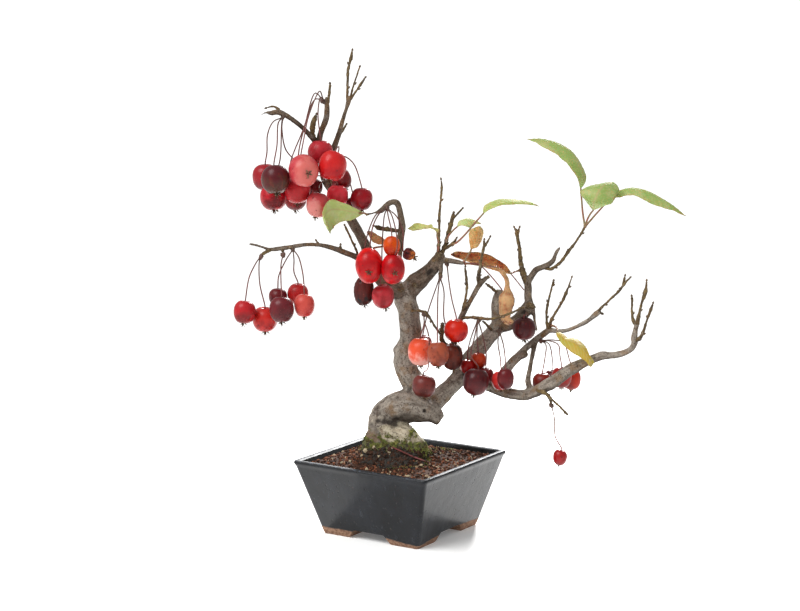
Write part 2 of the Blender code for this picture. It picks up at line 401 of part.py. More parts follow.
def joined_rings(rings, split=False):
    """Faces of a closed skin over rings of equal length, with a flat cap at each end."""
    count = len(rings[0])
    vertices = [point for ring in rings for point in ring]
    faces = [list(range(count))[::-1], list(range(len(vertices) - count, len(vertices)))]
    for r in range(len(rings) - 1):
        for k in range(count):
            n = (k + 1) % count
            a, b, c, d = r * count + k, r * count + n, (r + 1) * count + n, (r + 1) * count + k
            faces += [[a, b, c], [a, c, d]] if split else [[a, b, c, d]]
    return vertices, faces


def tube(name, points, radii, sides, roughness=0.0, blunt=False):
    """A round bar along points, with its own radius at each; a blunt one narrows at its last end."""
    rings = []
    side = (points[1] - points[0]).orthogonal().normalized()
    for k, point in enumerate(points):
        heading = (points[min(k + 1, len(points) - 1)] - points[max(k - 1, 0)]).normalized()
        side = (side - heading * side.dot(heading)).normalized()
        other = heading.cross(side)
        ring = []
        for s in range(sides):
            angle = 2 * math.pi * s / sides
            way = side * math.cos(angle) + other * math.sin(angle)
            uneven = 1 + roughness * noise.noise(point / MM * 0.13 + way * 1.7)
            ring.append(point + way * radii[k] * uneven)
        rings.append(ring)
    if blunt:
        last = points[-1]
        beyond = (last - points[-2]).normalized() * radii[-1] * BLUNT_END
        rings.append([last + (p - last) * 0.55 + beyond for p in rings[-1]])
    return mesh_from(name, *joined_rings(rings, split=True))


def united(name, meshes, surface):
    """One closed body from overlapping meshes, by a Boolean union that is applied."""
    body = add_object(name, meshes[0], surface)
    others = bpy.data.collections.new(name + "_pieces")
    for k, mesh in enumerate(meshes[1:]):
        others.objects.link(bpy.data.objects.new(f"{name}_piece_{k}", mesh))
    bpy.context.scene.collection.children.link(others)
    union = body.modifiers.new("union", "BOOLEAN")
    union.operation = "UNION"
    union.operand_type = "COLLECTION"
    union.collection = others
    union.solver = "EXACT"
    graph = bpy.context.evaluated_depsgraph_get()
    merged = bpy.data.meshes.new_from_object(body.evaluated_get(graph))
    body.modifiers.clear()
    body.data = merged
    for obj in list(others.objects):
        bpy.data.objects.remove(obj)
    bpy.data.collections.remove(others)
    return body


def rounded_square(side, z, radius, steps=CORNER_STEPS):
    """A ring of points round a square with round corners."""
    half = side / 2 - radius
    ring = []
    for quarter, (x, y) in enumerate(((half, half), (-half, half), (-half, -half), (half, -half))):
        for k in range(steps + 1):
            angle = math.pi / 2 * (quarter + k / steps)
            ring.append(Vector((x + radius * math.cos(angle), y + radius * math.sin(angle), z)))
    return ring


def side_at(z):
    """The pot's outer side at a height: its walls lean out evenly."""
    return POT_BASE_SIDE + (POT_SIDE - POT_BASE_SIDE) * z / POT_HEIGHT


def cutter(name, mesh, body):
    """Cuts a mesh out of a body, with the cutter left out of the render."""
    tool = add_object(name, mesh)
    tool.hide_render = True
    tool.display_type = "WIRE"
    cut = body.modifiers.new(name, "BOOLEAN")
    cut.operation = "DIFFERENCE"
    cut.object = tool


def make_pot(surface):
    """The glazed pot: leaning walls, a round rim, a floor with a drain hole, and four corner feet."""
    inside = FOOT_HEIGHT + FLOOR_THICKNESS
    lip = 1.2 * MM
    inner_radius = POT_CORNER_RADIUS - 1.5 * MM
    rings = [
        rounded_square(side_at(0), 0, POT_CORNER_RADIUS - 1.5 * MM),
        rounded_square(side_at(POT_HEIGHT - 4 * MM), POT_HEIGHT - 4 * MM, POT_CORNER_RADIUS),
        rounded_square(POT_SIDE, POT_HEIGHT - lip, POT_CORNER_RADIUS),
        rounded_square(POT_SIDE - 2 * lip, POT_HEIGHT, POT_CORNER_RADIUS - lip),
        rounded_square(POT_SIDE - 2 * WALL + lip, POT_HEIGHT, inner_radius + lip / 2),
        rounded_square(POT_SIDE - 2 * WALL - lip, POT_HEIGHT - lip, inner_radius),
        rounded_square(side_at(inside) - 2 * WALL, inside, inner_radius),
    ]
    pot = add_object("pot", mesh_from("pot", *joined_rings(rings)), surface)
    half_gap = FOOT_GAP / 2
    profile = ((-half_gap, -MM), (half_gap, -MM), (half_gap - MM, 0), (half_gap - FOOT_SLOPE, FOOT_HEIGHT),
               (FOOT_SLOPE - half_gap, FOOT_HEIGHT), (MM - half_gap, 0))
    for name, turn in (("arch_x", 0), ("arch_y", math.pi / 2)):
        spin = Matrix.Rotation(turn, 3, "Z")
        ends = [[spin @ Vector((x, y, z)) for x, z in profile] for y in (-POT_SIDE, POT_SIDE)]
        cutter(name, mesh_from(name, *joined_rings(ends)), pot)
    circle = [(math.cos(2 * math.pi * k / 24), math.sin(2 * math.pi * k / 24)) for k in range(24)]
    reach = (0, inside + 4 * MM)
    ends = [[Vector((x * DRAIN_RADIUS, y * DRAIN_RADIUS, z)) for x, y in circle] for z in reach]
    cutter("drain", mesh_from("drain", *joined_rings(ends)), pot)
    return pot


def make_drain_mesh(surface):
    """The square plastic grid that keeps the soil off the drain hole."""
    low = FOOT_HEIGHT + FLOOR_THICKNESS + TOUCH
    bars = []
    for k in range(MESH_BARS):
        at = (k / (MESH_BARS - 1) - 0.5) * (MESH_SIDE - MESH_BAR_WIDTH)
        for along_x in (True, False):
            half = Vector((MESH_SIDE / 2, MESH_BAR_WIDTH / 2))
            # Bars of one direction stand a hair proud of the others, so that no two faces coincide.
            rise = BAR_STEP if along_x else 0.0
            near, far = at - half.y, at + half.y
            corners = [(-half.x, near), (half.x, near), (half.x, far), (-half.x, far)]
            if not along_x:
                corners = [(y, x) for x, y in corners]
            levels = (low - rise + BAR_STEP, low + MESH_THICKNESS + rise)
            ends = [[Vector((x, y, z)) for x, y in corners] for z in levels]
            bars.append(mesh_from("bar", *joined_rings(ends)))
    return united("drain_mesh", bars, surface)


def soil_height(x, y, middle):
    """The soil's surface: level by the walls, mounded round the trunk, and rough with grains."""
    away = math.hypot(x - middle.x, y - middle.y)
    mound = MOUND_HEIGHT * math.exp(-((away / MOUND_REACH) ** 2))
    grain = GRAIN_RELIEF * noise.noise(Vector((x, y, 0)) / GRAIN_SPACING * 2.1)
    swell = 1.2 * MM * noise.noise(Vector((x, y, 0.05)) / (22 * MM))
    return POT_HEIGHT - SOIL_BELOW_RIM + mound + grain + swell


def make_soil(surface, roots):
    """The soil that fills the pot, with a plain hole for the root crown."""
    floor = FOOT_HEIGHT + FLOOR_THICKNESS + 2 * TOUCH + MESH_THICKNESS + 0.1 * MM
    middle = seen(396, 452, 0)
    top = POT_HEIGHT - SOIL_BELOW_RIM
    radius = POT_CORNER_RADIUS - 1.5 * MM
    steps = 4
    rim = rounded_square(side_at(top) - 2 * WALL - 2.2 * MM, top, radius, steps)
    base = rounded_square(side_at(floor) - 2 * WALL - 1.2 * MM, floor, radius, steps)
    count = len(rim)
    shells = []
    for share in (1, 0.88, 0.74, 0.6, 0.46, 0.32, 0.17):
        ring = []
        for p in rim:
            x, y = p.x * share, p.y * share
            settle = 1 if share < 1 else 0
            brim = top - 0.5 * MM
            ring.append(Vector((x, y, brim + settle * (soil_height(x, y, middle) - brim))))
        shells.append(ring)
    vertices = [*base, *(p for ring in shells for p in ring)]
    peak = len(vertices)
    vertices.append(Vector((0, 0, soil_height(0, 0, middle))))
    faces = [list(range(count))]
    for r in range(len(shells)):
        for k in range(count):
            n = (k + 1) % count
            a, b, c, d = r * count + k, r * count + n, (r + 1) * count + n, (r + 1) * count + k
            faces += [[a, b, c], [a, c, d]]
    last = len(shells) * count
    faces += [[last + k, last + (k + 1) % count, peak] for k in range(count)]
    soil = add_object("soil", mesh_from("soil", vertices, faces), surface)
    for name in roots:
        points, radii = wood_route(name, 1)
        sides = wood_sides(max(radii))
        above = points[0] + (points[0] - points[1]).normalized() * TOUCH
        beyond = points[-1] + (points[-1] - points[-2]).normalized() * (radii[-1] * BLUNT_END + TOUCH)
        wide = [r + HOLE_GAP for r in (radii[0], *radii, radii[-1])]
        hole = tube(name, [above, *points, beyond], wide, sides, BARK_RELIEF)
        cutter("hole_for_" + name, hole, soil)
    return soil


def wood_route(name, per_span):
    """A limb's points and radii, smoothed, with per_span rings for each stretch that was read."""
    rows = WOOD[name]
    points = along([seen(x, y, d) for x, y, d, _ in rows], per_span * (len(rows) - 1))
    widths = along([Vector((w, 0, 0)) for _, _, _, w in rows], per_span * (len(rows) - 1))
    return points, [max(w.x, 0.5) * STEP for w in widths]


def wood_sides(radius):
    """How many sides a limb of this radius gets."""
    for least, sides in ((7 * MM, 10), (3.2 * MM, 7), (1.8 * MM, 6), (1.05 * MM, 4)):
        if radius > least:
            return sides
    return 3


def make_wood(surface):
    """The living wood as one piece: root crown, trunks, limbs, twigs, spurs and buds."""
    pieces = []
    for name, rows in WOOD.items():
        widest = max(row[3] for row in rows) * STEP
        points, radii = wood_route(name, 1)
        pieces.append(tube(name, points, radii, wood_sides(widest), BARK_RELIEF, blunt=widest > THIN_TWIG))
    return united("wood", pieces, surface)


def surface_tree(obj):
    """The evaluated object's surface, for finding places on it."""
    graph = bpy.context.evaluated_depsgraph_get()
    return BVHTree.FromObject(obj, graph)


def seat_on(tree, place, way, stand_off):
    """The point that clears the wood by stand_off, on a line that leaves it from the place, along way."""
    seat = seen(*place)
    out = facing(*way).normalized()
    clear = False
    while not clear:
        near, normal, _, gap = tree.find_nearest(seat)
        clear = gap >= stand_off and (seat - near).dot(normal) > 0
        if not clear:
            seat = seat + out * SEAT_STEP
    return seat, out


def apple_mesh(centre, half_width, half_height, lean):
    """A crabapple: round, dimpled at the stalk, and with a dried calyx of sepals at the other end."""
    profile = ((0.12, 0.78), (0.38, 0.95), (0.84, 0.62), (1.03, 0.02), (0.82, -0.62), (0.28, -0.97))
    rings = []
    for radius, height in profile:
        rings.append([
            centre + lean @ Vector((
                math.cos(2 * math.pi * k / APPLE_SIDES) * radius * half_width,
                math.sin(2 * math.pi * k / APPLE_SIDES) * radius * half_width,
                height * half_height))
            for k in range(APPLE_SIDES)])
    return mesh_from("apple", *joined_rings(rings))


def calyx_mesh(centre, half_width, half_height, lean):
    """The dried calyx: a short cup whose rim is cut into sepals that bend out."""
    outline = []
    for k in range(2 * SEPALS):
        angle = math.pi * k / SEPALS
        radius = (0.36 if k % 2 else 0.13) * half_width
        outline.append((math.cos(angle) * radius, math.sin(angle) * radius))
    rim = [centre + lean @ Vector((x, y, -1.17 * half_height)) for x, y in outline]
    root = centre + lean @ Vector((0, 0, -0.75 * half_height))
    count = len(rim)
    faces = [[k, (k + 1) % count, count] for k in range(count)]
    return mesh_from("calyx", [*rim, root], [list(range(count))[::-1], *faces])


def leaning(right, away):
    """The turn of an apple whose calyx end swings right and away from straight down."""
    down = facing(right, away, -1).normalized()
    return Vector((0, 0, -1)).rotation_difference(down).to_matrix()


def make_bunch(name, place, way, apples, tree, surface):
    """The apples of one spur: a knob on the bark, and a long bent stalk to each apple."""
    knob, _ = seat_on(tree, place, way, KNOB_RADIUS + TOUCH)
    ball = bmesh.new()
    bmesh.ops.create_icosphere(ball, subdivisions=1, radius=KNOB_RADIUS * 1.02)
    bmesh.ops.translate(ball, vec=knob, verts=ball.verts)
    ball_mesh = bpy.data.meshes.new("knob")
    ball.to_mesh(ball_mesh)
    ball.free()
    pieces = [ball_mesh]
    for across, down, depth, wide, tall, right, away, bends in apples:
        centre = seen(across, down, depth)
        lean = leaning(right, away)
        half_width, half_height = wide * STEP, tall * STEP
        top = centre + lean @ Vector((0, 0, 0.55 * half_height))
        bends = [seen(*p) for p in bends]
        into = centre + lean @ Vector((0, 0, 1.15 * half_height))
        route = [knob, *bends, into, top]
        pieces.append(tube("stalk", route, [STALK_RADIUS] * len(route), STALK_SIDES))
        pieces.append(apple_mesh(centre, half_width, half_height, lean))
        pieces.append(calyx_mesh(centre, half_width, half_height, lean))
    return united(name, pieces, surface)


def blade_mesh(stations):
    """A leaf blade between its two edges, folded a little along the rib, with teeth and real thickness."""
    count = BLADE_STATIONS
    left = along([seen(*a) for a, _ in stations], count)
    right = along([seen(*b) for _, b in stations], count)
    middles = [(a + b) / 2 for a, b in zip(left, right)]
    widths = [b - a for a, b in zip(left, right)]
    widths[0] = widths[1].normalized() * NARROW_END
    widths[-1] = widths[-2].normalized() * NARROW_END
    rows = []
    for k in range(count + 1):
        middle = middles[k]
        heading = middles[min(k + 1, count)] - middles[max(k - 1, 0)]
        normal = widths[k].cross(heading).normalized()
        cut = 1 + (TOOTH if k % 2 else -TOOTH) * (0 < k < count)
        half = widths[k] / 2 * cut
        rib = middle + normal * widths[k].length * BLADE_FOLD
        rows.append(([middle - half, rib, middle + half], normal * LEAF_THICKNESS / 2))
    vertices = []
    for points, lift in rows:
        vertices += [p + lift for p in points] + [p - lift for p in points]
    faces = []
    for k in range(count):
        a, b = 6 * k, 6 * (k + 1)
        for side in range(2):
            for level, flip in ((0, False), (3, True)):
                i, j = a + level + side, b + level + side
                for face in ([i, i + 1, j], [i + 1, j + 1, j]):
                    faces.append(face[::-1] if flip else face)
        for i, j in ((0, 3), (5, 2)):
            faces += [[a + i, b + i, a + j], [a + j, b + i, b + j]]
    for a in (0, 6 * count):
        faces += [[a, a + 1, a + 4, a + 3], [a + 1, a + 2, a + 5, a + 4]]
    return mesh_from("blade", vertices, faces)


def petiole_mesh(start, bends, base, along_blade):
    """A leaf's stalk, from its seat through its bends into the foot of the blade."""
    route = along([start, *[seen(*p) for p in bends], base, along_blade], len(bends) + 3)
    return tube("petiole", route, [PETIOLE_RADIUS] * len(route), STALK_SIDES)


def blade_foot(stations):
    """The middle of a blade's base, and a point a little way up its rib."""
    first = (seen(*stations[0][0]) + seen(*stations[0][1])) / 2
    second = (seen(*stations[1][0]) + seen(*stations[1][1])) / 2
    return first, first.lerp(second, 0.35)


def make_leaf(name, place, way, bends, stations, tree, surface):
    """One leaf: its stalk and its blade, fused."""
    seat, _ = seat_on(tree, place, way, PETIOLE_RADIUS + TOUCH)
    pieces = [blade_mesh(stations), petiole_mesh(seat, bends, *blade_foot(stations))]
    return united(name, pieces, surface)


def make_shoot(tree, surface):
    """The leafy shoot: three leaves whose stalks rise from one young tip."""
    seat, out = seat_on(tree, SHOOT_SEAT, (0.35, 0, 1), 1.2 * TOUCH)
    pieces = [tube("tip", [seat, seat + out * 2.4 * MM], [KNOB_RADIUS * 0.8, KNOB_RADIUS * 0.7], 6)]
    for bends, stations in SHOOT.values():
        pieces += [blade_mesh(stations), petiole_mesh(seat + out * 1.2 * MM, bends, *blade_foot(stations))]
    return united("leaf_shoot", pieces, surface)


def centre_on_base():
    """Moves everything so that the whole object's box stands centred over the origin."""
    bpy.context.view_layer.update()
    graph = bpy.context.evaluated_depsgraph_get()
    shown = [obj for obj in bpy.data.objects if not obj.hide_render]
    corners = [v.co for obj in shown for v in obj.evaluated_get(graph).data.vertices]
    shift = Vector([-(max(p[k] for p in corners) + min(p[k] for p in corners)) / 2 for k in range(2)] + [0])
    shift.z = -min(p.z for p in corners)
    for obj in bpy.data.objects:
        obj.data.transform(Matrix.Translation(shift))


def main():
    clear_scene()
    glaze = material("glazed_stoneware", (0.018, 0.02, 0.03), 0.22)
    plastic = material("black_plastic", (0.03, 0.03, 0.03), 0.5)
    earth = material("baked_clay_soil", (0.13, 0.05, 0.03), 0.95)
    bark = material("grey_bark", (0.25, 0.20, 0.14), 0.8)
    skin = material("apple_skin", (0.55, 0.02, 0.02), 0.3)
    green = material("green_leaf", (0.36, 0.45, 0.12), 0.55)
    dry = material("dry_leaf", (0.55, 0.28, 0.10), 0.7)
    make_pot(glaze)
    make_drain_mesh(plastic)
    make_soil(earth, ("root_crown", "front_root", "left_root", "back_root"))
    wood = make_wood(bark)
    tree = surface_tree(wood)
    for name, (place, way, apples) in BUNCHES.items():
        make_bunch(name, place, way, apples, tree, skin)
    for name, (place, way, bends, stations) in LEAVES.items():
        surface = dry if "dry" in name or "ochre" in name else green
        make_leaf(name, place, way, bends, stations, tree, surface)
    make_shoot(tree, green)
    centre_on_base()


main()
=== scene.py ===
# %% [markdown]
# A crabapple bonsai, dressed for a close look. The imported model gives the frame: every limb, apple and
# leaf has its place there. This script builds each of them again with the detail that an eye expects
# close up, then lights it like a plain product picture.

# %% Load the frame
import math

import bmesh
import bpy
import numpy as np
from mathutils import Matrix, Vector, noise
from mathutils.bvhtree import BVHTree
from mathutils.kdtree import KDTree


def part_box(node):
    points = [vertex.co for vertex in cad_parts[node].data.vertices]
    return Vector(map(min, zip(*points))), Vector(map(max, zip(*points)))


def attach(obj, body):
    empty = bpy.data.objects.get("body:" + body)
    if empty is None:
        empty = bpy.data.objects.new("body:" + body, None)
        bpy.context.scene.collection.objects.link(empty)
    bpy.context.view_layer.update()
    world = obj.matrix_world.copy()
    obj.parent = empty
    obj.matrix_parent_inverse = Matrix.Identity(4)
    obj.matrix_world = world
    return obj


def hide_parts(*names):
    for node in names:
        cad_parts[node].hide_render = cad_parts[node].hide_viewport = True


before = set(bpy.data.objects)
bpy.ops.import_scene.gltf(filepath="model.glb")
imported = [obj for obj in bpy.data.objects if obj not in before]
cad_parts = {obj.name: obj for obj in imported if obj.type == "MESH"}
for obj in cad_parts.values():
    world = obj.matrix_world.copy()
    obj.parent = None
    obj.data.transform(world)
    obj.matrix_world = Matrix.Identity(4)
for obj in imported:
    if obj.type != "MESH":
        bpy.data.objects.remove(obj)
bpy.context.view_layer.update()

# %% [markdown]
# Real sizes first. The pot is the ruler for all the rest: it stands level, its sides lie along X and Y, and
# the tree is read from the front view, in steps of 0.663 mm across and down, with its depth in millimetres.

# %% Sizes and the front view
MM = 0.001
pot_low, pot_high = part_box("pot")
POT_CENTRE = Vector(((pot_low.x + pot_high.x) / 2, (pot_low.y + pot_high.y) / 2, 0))
POT_SIDE = pot_high.x - pot_low.x
POT_HEIGHT = pot_high.z - pot_low.z
POT_BASE_SIDE = 74 * MM
EYE_DISTANCE = 1357 * MM
EYE_HEIGHT = 375 * MM
EYE_SIDESTEP = -0.5 * MM
EYE_PITCH = math.radians(9.42)
FRONT_TURN = math.radians(33)
PICTURE_FOCUS = 2111.6
PICTURE_MIDDLE = (400.8, 305.5)
PICTURE_WIDTH = 800
STEP = 0.663 * MM
TURN = Matrix.Rotation(FRONT_TURN, 3, "Z")


def facing(right, away, up):
    """Turns a vector of the front view into the frame's axes."""
    return TURN @ Vector((right, away, up))


def seen(across, down, depth):
    """The point that the front view shows at this place, depth millimetres behind the pot's centre."""
    right = (across - PICTURE_MIDDLE[0]) / PICTURE_FOCUS
    above = (PICTURE_MIDDLE[1] - down) / PICTURE_FOCUS
    forward = math.cos(EYE_PITCH) + above * math.sin(EYE_PITCH)
    upward = above * math.cos(EYE_PITCH) - math.sin(EYE_PITCH)
    reach = (EYE_DISTANCE + depth * MM) / forward
    return POT_CENTRE + facing(right * reach, depth * MM, EYE_HEIGHT + upward * reach)


print("pot centre", [round(v, 4) for v in POT_CENTRE], "side", round(POT_SIDE, 4))

# %% [markdown]
# The camera looks slightly down at the pot's left and right faces, from about 1.4 m with a long lens, so
# that the pot's sides hardly converge. The same numbers that place the tree place the camera.

# %% Camera
camera_data = bpy.data.cameras.new("camera")
camera_data.sensor_width = 36
camera_data.lens = 36 * PICTURE_FOCUS / PICTURE_WIDTH
camera_data.clip_end = 200
camera = bpy.data.objects.new("camera", camera_data)
bpy.context.scene.collection.objects.link(camera)
toward = facing(0, -math.cos(EYE_PITCH), math.sin(EYE_PITCH))
right_way = facing(1, 0, 0)
axes = Matrix((right_way, toward.cross(right_way), toward)).transposed()
stand = POT_CENTRE + facing(EYE_SIDESTEP, -EYE_DISTANCE, EYE_HEIGHT)
camera.matrix_world = Matrix.Translation(stand) @ axes.to_4x4()
bpy.context.scene.camera = camera
print("lens", round(camera_data.lens, 1), "mm")

# %% [markdown]
# Most pieces are swept or revolved, so they share three helpers: a smooth curve through points, a tube
# along it, and a bag that gathers many small meshes, with a value for each point, into one object.

# %% Shared mesh helpers


def curve_through(points, count):
    """Count + 1 points on a Catmull-Rom curve through the given rows of numbers."""
    rows = np.array(points, float)
    padded = np.vstack([2 * rows[0] - rows[1], rows, 2 * rows[-1] - rows[-2]])
    at = np.linspace(0, len(rows) - 1, count + 1)
    i = np.minimum(at.astype(int), len(rows) - 2)
    t = (at - i)[:, None]
    a, b, c, d = padded[i], padded[i + 1], padded[i + 2], padded[i + 3]
    return 0.5 * (2 * b + (c - a) * t + (2 * a - 5 * b + 4 * c - d) * t * t + (3 * b - a - 3 * c + d) * t**3)


def sweep_frames(path):
    """Heading, side and other side along a path, turning as little as possible."""
    headings = np.gradient(path, axis=0)
    headings /= np.linalg.norm(headings, axis=1)[:, None] + 1e-12
    side = np.array(Vector(headings[0]).orthogonal().normalized())
    sides = []
    for heading in headings:
        side = side - heading * side.dot(heading)
        side /= np.linalg.norm(side)
        sides.append(side)
    sides = np.array(sides)
    return headings, sides, np.cross(headings, sides)


class Bag:
    """Gathers small meshes, with named values for their points, into one object."""

    def __init__(self):
        self.points = []
        self.faces = []
        self.values = {}
        self.slots = []
        self.count = 0

    def add(self, points, faces, material=0, **values):
        """Adds points and faces; each value is one number, or one row for each point."""
        points = np.asarray(points, float).reshape(-1, 3)
        self.points.append(points)
        self.faces += [[i + self.count for i in face] for face in faces]
        self.slots += [material] * len(faces)
        for name, value in values.items():
            rows = np.full(len(points), value) if np.ndim(value) == 0 else np.asarray(value, float)
            self.values.setdefault(name, []).append(rows)
        self.count += len(points)

    def build(self, name, materials, smooth=True):
        """Makes the object, riding on the frame's body."""
        mesh = bpy.data.meshes.new(name)
        mesh.from_pydata(np.vstack(self.points).tolist(), [], self.faces)
        for value_name, rows in self.values.items():
            rows = np.concatenate(rows)
            if rows.ndim == 2:
                layer = mesh.attributes.new(value_name, "FLOAT_VECTOR", "POINT")
                layer.data.foreach_set("vector", rows.astype(np.float32).ravel())
            else:
                layer = mesh.attributes.new(value_name, "FLOAT", "POINT")
                layer.data.foreach_set("value", rows.astype(np.float32))
        for material in materials:
            mesh.materials.append(material)
        mesh.polygons.foreach_set("material_index", self.slots)
        mesh.polygons.foreach_set("use_smooth", [smooth] * len(mesh.polygons))
        mesh.update()
        obj = bpy.data.objects.new(name, mesh)
        bpy.context.scene.collection.objects.link(obj)
        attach(obj, "root")
        return obj


def ring_faces(rings, sides):
    """Faces of a closed skin over rings of equal length, with a cap at each end."""
    faces = [list(range(sides))[::-1], list(range((rings - 1) * sides, rings * sides))]
    for r in range(rings - 1):
        for k in range(sides):
            n = (k + 1) % sides
            faces.append([r * sides + k, r * sides + n, (r + 1) * sides + n, (r + 1) * sides + k])
    return faces


def tube(path, radii, sides):
    """Points and faces of a round bar along a path; radii may have a column for each side."""
    _, ones, others = sweep_frames(path)
    angles = np.linspace(0, 2 * math.pi, sides, endpoint=False)
    radii = np.asarray(radii, float)
    radii = np.broadcast_to(radii[:, None] if radii.ndim == 1 else radii, (len(path), sides))
    ways = ones[:, None] * np.cos(angles)[None, :, None] + others[:, None] * np.sin(angles)[None, :, None]
    return (path[:, None] + ways * radii[:, :, None]).reshape(-1, 3), ring_faces(len(path), sides)


def fractal(points, size, octaves=3):
    """Layered noise from -1 to 1 at each point; size is the largest swell."""
    return np.array([noise.fractal(Vector(p), 1.0, 2.0, octaves) for p in np.asarray(points) / size])


# %% [markdown]
# A colour is written the way a colour picker shows it and turned to the linear light that a renderer adds
# up. One small function adds a node with its settings and what feeds it; every finish below uses it.

# %% Colour and node helpers


def linear(hex_colour):
    """An sRGB hex colour as linear light."""
    parts = [int(hex_colour[i : i + 2], 16) / 255 for i in (1, 3, 5)]
    return (*[p / 12.92 if p <= 0.04045 else ((p + 0.055) / 1.055) ** 2.4 for p in parts], 1)


def add_node(tree, kind, feeds=(), out=0, **settings):
    """Adds a node, sets it up, feeds its inputs with values or other outputs, and returns one output."""
    made = tree.nodes.new(kind)
    for name, value in settings.items():
        setattr(made, name, value)
    for place, value in dict(feeds).items():
        if isinstance(value, bpy.types.NodeSocket):
            tree.links.new(value, made.inputs[place])
        else:
            made.inputs[place].default_value = value
    return made.outputs[out]


def new_finish(name, **constants):
    """A material with its node tree and shader; values that are the same all over are set on the shader."""
    made = bpy.data.materials.new(name)
    made.use_nodes = True
    shader = made.node_tree.nodes["Principled BSDF"]
    for place, value in constants.items():
        shader.inputs[place.replace("_", " ")].default_value = value
    return made, made.node_tree, shader


def faded(tree, colour, other, share, low, high, most=1.0):
    """One colour turning into another, as far as most, while the share rises from low to high."""
    blend = add_node(
        tree, "ShaderNodeMapRange", {0: share, 1: low, 2: high, 4: most}, interpolation_type="SMOOTHSTEP"
    )
    return add_node(tree, "ShaderNodeMix", {0: blend, 6: colour, 7: other}, 2, data_type="RGBA")


def stained(tree, colour, stain, where, size, low, high, most=1.0, detail=3.0):
    """A colour with cloudy stains, size metres across, that fill in as low and high come down."""
    cloud = add_node(
        tree, "ShaderNodeTexNoise", {"Vector": where, "Scale": 1 / size, "Detail": detail, "Roughness": 0.58}
    )
    return faded(tree, colour, stain, cloud, low, high, most)


print("helpers ready")

# %% [markdown]
# The pot is slip-cast stoneware: walls that lean out to a thin rolled rim, four corner feet left by an
# arch in each side, dipped in a dark blue-black glaze down to the feet. A slip-cast wall is a stack of
# rounded squares, so the model is rings too; the arches are cut afterwards, as a potter trims them.

# %% Pot shape
WALL = 4.5 * MM
FOOT_HEIGHT = 6 * MM
FLOOR_THICKNESS = 5 * MM
FOOT_GAP = 34 * MM
FOOT_SLOPE = 6 * MM
DRAIN_RADIUS = 6.5 * MM
CORNER_RADIUS = 3.2 * MM


def rounded_square(side, height, radius, steps=9):
    """Points round a square with round corners, anticlockwise."""
    inset = side / 2 - radius
    ring = []
    for corner in range(4):
        middle = math.pi / 4 + corner * math.pi / 2
        cx, cy = math.copysign(inset, math.cos(middle)), math.copysign(inset, math.sin(middle))
        for k in range(steps + 1):
            angle = corner * math.pi / 2 + k / steps * math.pi / 2
            ring.append((cx + radius * math.cos(angle), cy + radius * math.sin(angle), height))
    return ring


def side_at(height):
    """The outside width of the leaning wall at a height."""
    return POT_BASE_SIDE + (POT_SIDE - POT_BASE_SIDE) * height / POT_HEIGHT


inside = FOOT_HEIGHT + FLOOR_THICKNESS
top = POT_HEIGHT
wall_rings = [
    (side_at(0) - 1.2 * MM, 0, 2 * MM),
    (side_at(0), 0.6 * MM, 2.4 * MM),
    *[(side_at(z * MM), z * MM, 2.6 * MM + z / 46 * 0.6 * MM) for z in (3, 6, 12, 20, 28, 36, 42, 45)],
    (side_at(46.6 * MM) + 0.1 * MM, 46.6 * MM, CORNER_RADIUS),
    (POT_SIDE - 0.5 * MM, 47.6 * MM, CORNER_RADIUS),
    (POT_SIDE, top - 1.5 * MM, CORNER_RADIUS),
    (POT_SIDE - 0.3 * MM, top - 0.7 * MM, CORNER_RADIUS),
    (POT_SIDE - 1.4 * MM, top - 0.15 * MM, CORNER_RADIUS - 0.5 * MM),
    (POT_SIDE - 3 * MM, top, CORNER_RADIUS - 0.8 * MM),
    (POT_SIDE - 2 * WALL + 2.4 * MM, top - 0.1 * MM, CORNER_RADIUS - 1 * MM),
    (POT_SIDE - 2 * WALL + 0.4 * MM, top - 0.7 * MM, CORNER_RADIUS - 1.3 * MM),
    (side_at(top - 3 * MM) - 2 * WALL, top - 3 * MM, CORNER_RADIUS - 1.5 * MM),
    (side_at(inside) - 2 * WALL, inside, CORNER_RADIUS - 1.5 * MM),
]
rings = [rounded_square(*ring) for ring in wall_rings]
pot_mesh = bpy.data.meshes.new("glazed_pot")
wall_points = [POT_CENTRE + Vector(p) for ring in rings for p in ring]
pot_mesh.from_pydata(wall_points, [], ring_faces(len(rings), len(rings[0])))
pot = bpy.data.objects.new("glazed_pot", pot_mesh)
bpy.context.scene.collection.objects.link(pot)


def cut_from_pot(name, ends):
    """Cuts a prism, whose two end outlines are given, out of the pot."""
    mesh = bpy.data.meshes.new(name)
    mesh.from_pydata([POT_CENTRE + Vector(p) for end in ends for p in end], [], ring_faces(2, len(ends[0])))
    body = bpy.data.objects.new(name, mesh)
    bpy.context.scene.collection.objects.link(body)
    work = bmesh.new()
    work.from_mesh(mesh)
    bmesh.ops.recalc_face_normals(work, faces=work.faces)
    work.to_mesh(mesh)
    work.free()
    cut = pot.modifiers.new(name, "BOOLEAN")
    cut.object = body
    cut.operation = "DIFFERENCE"
    return body


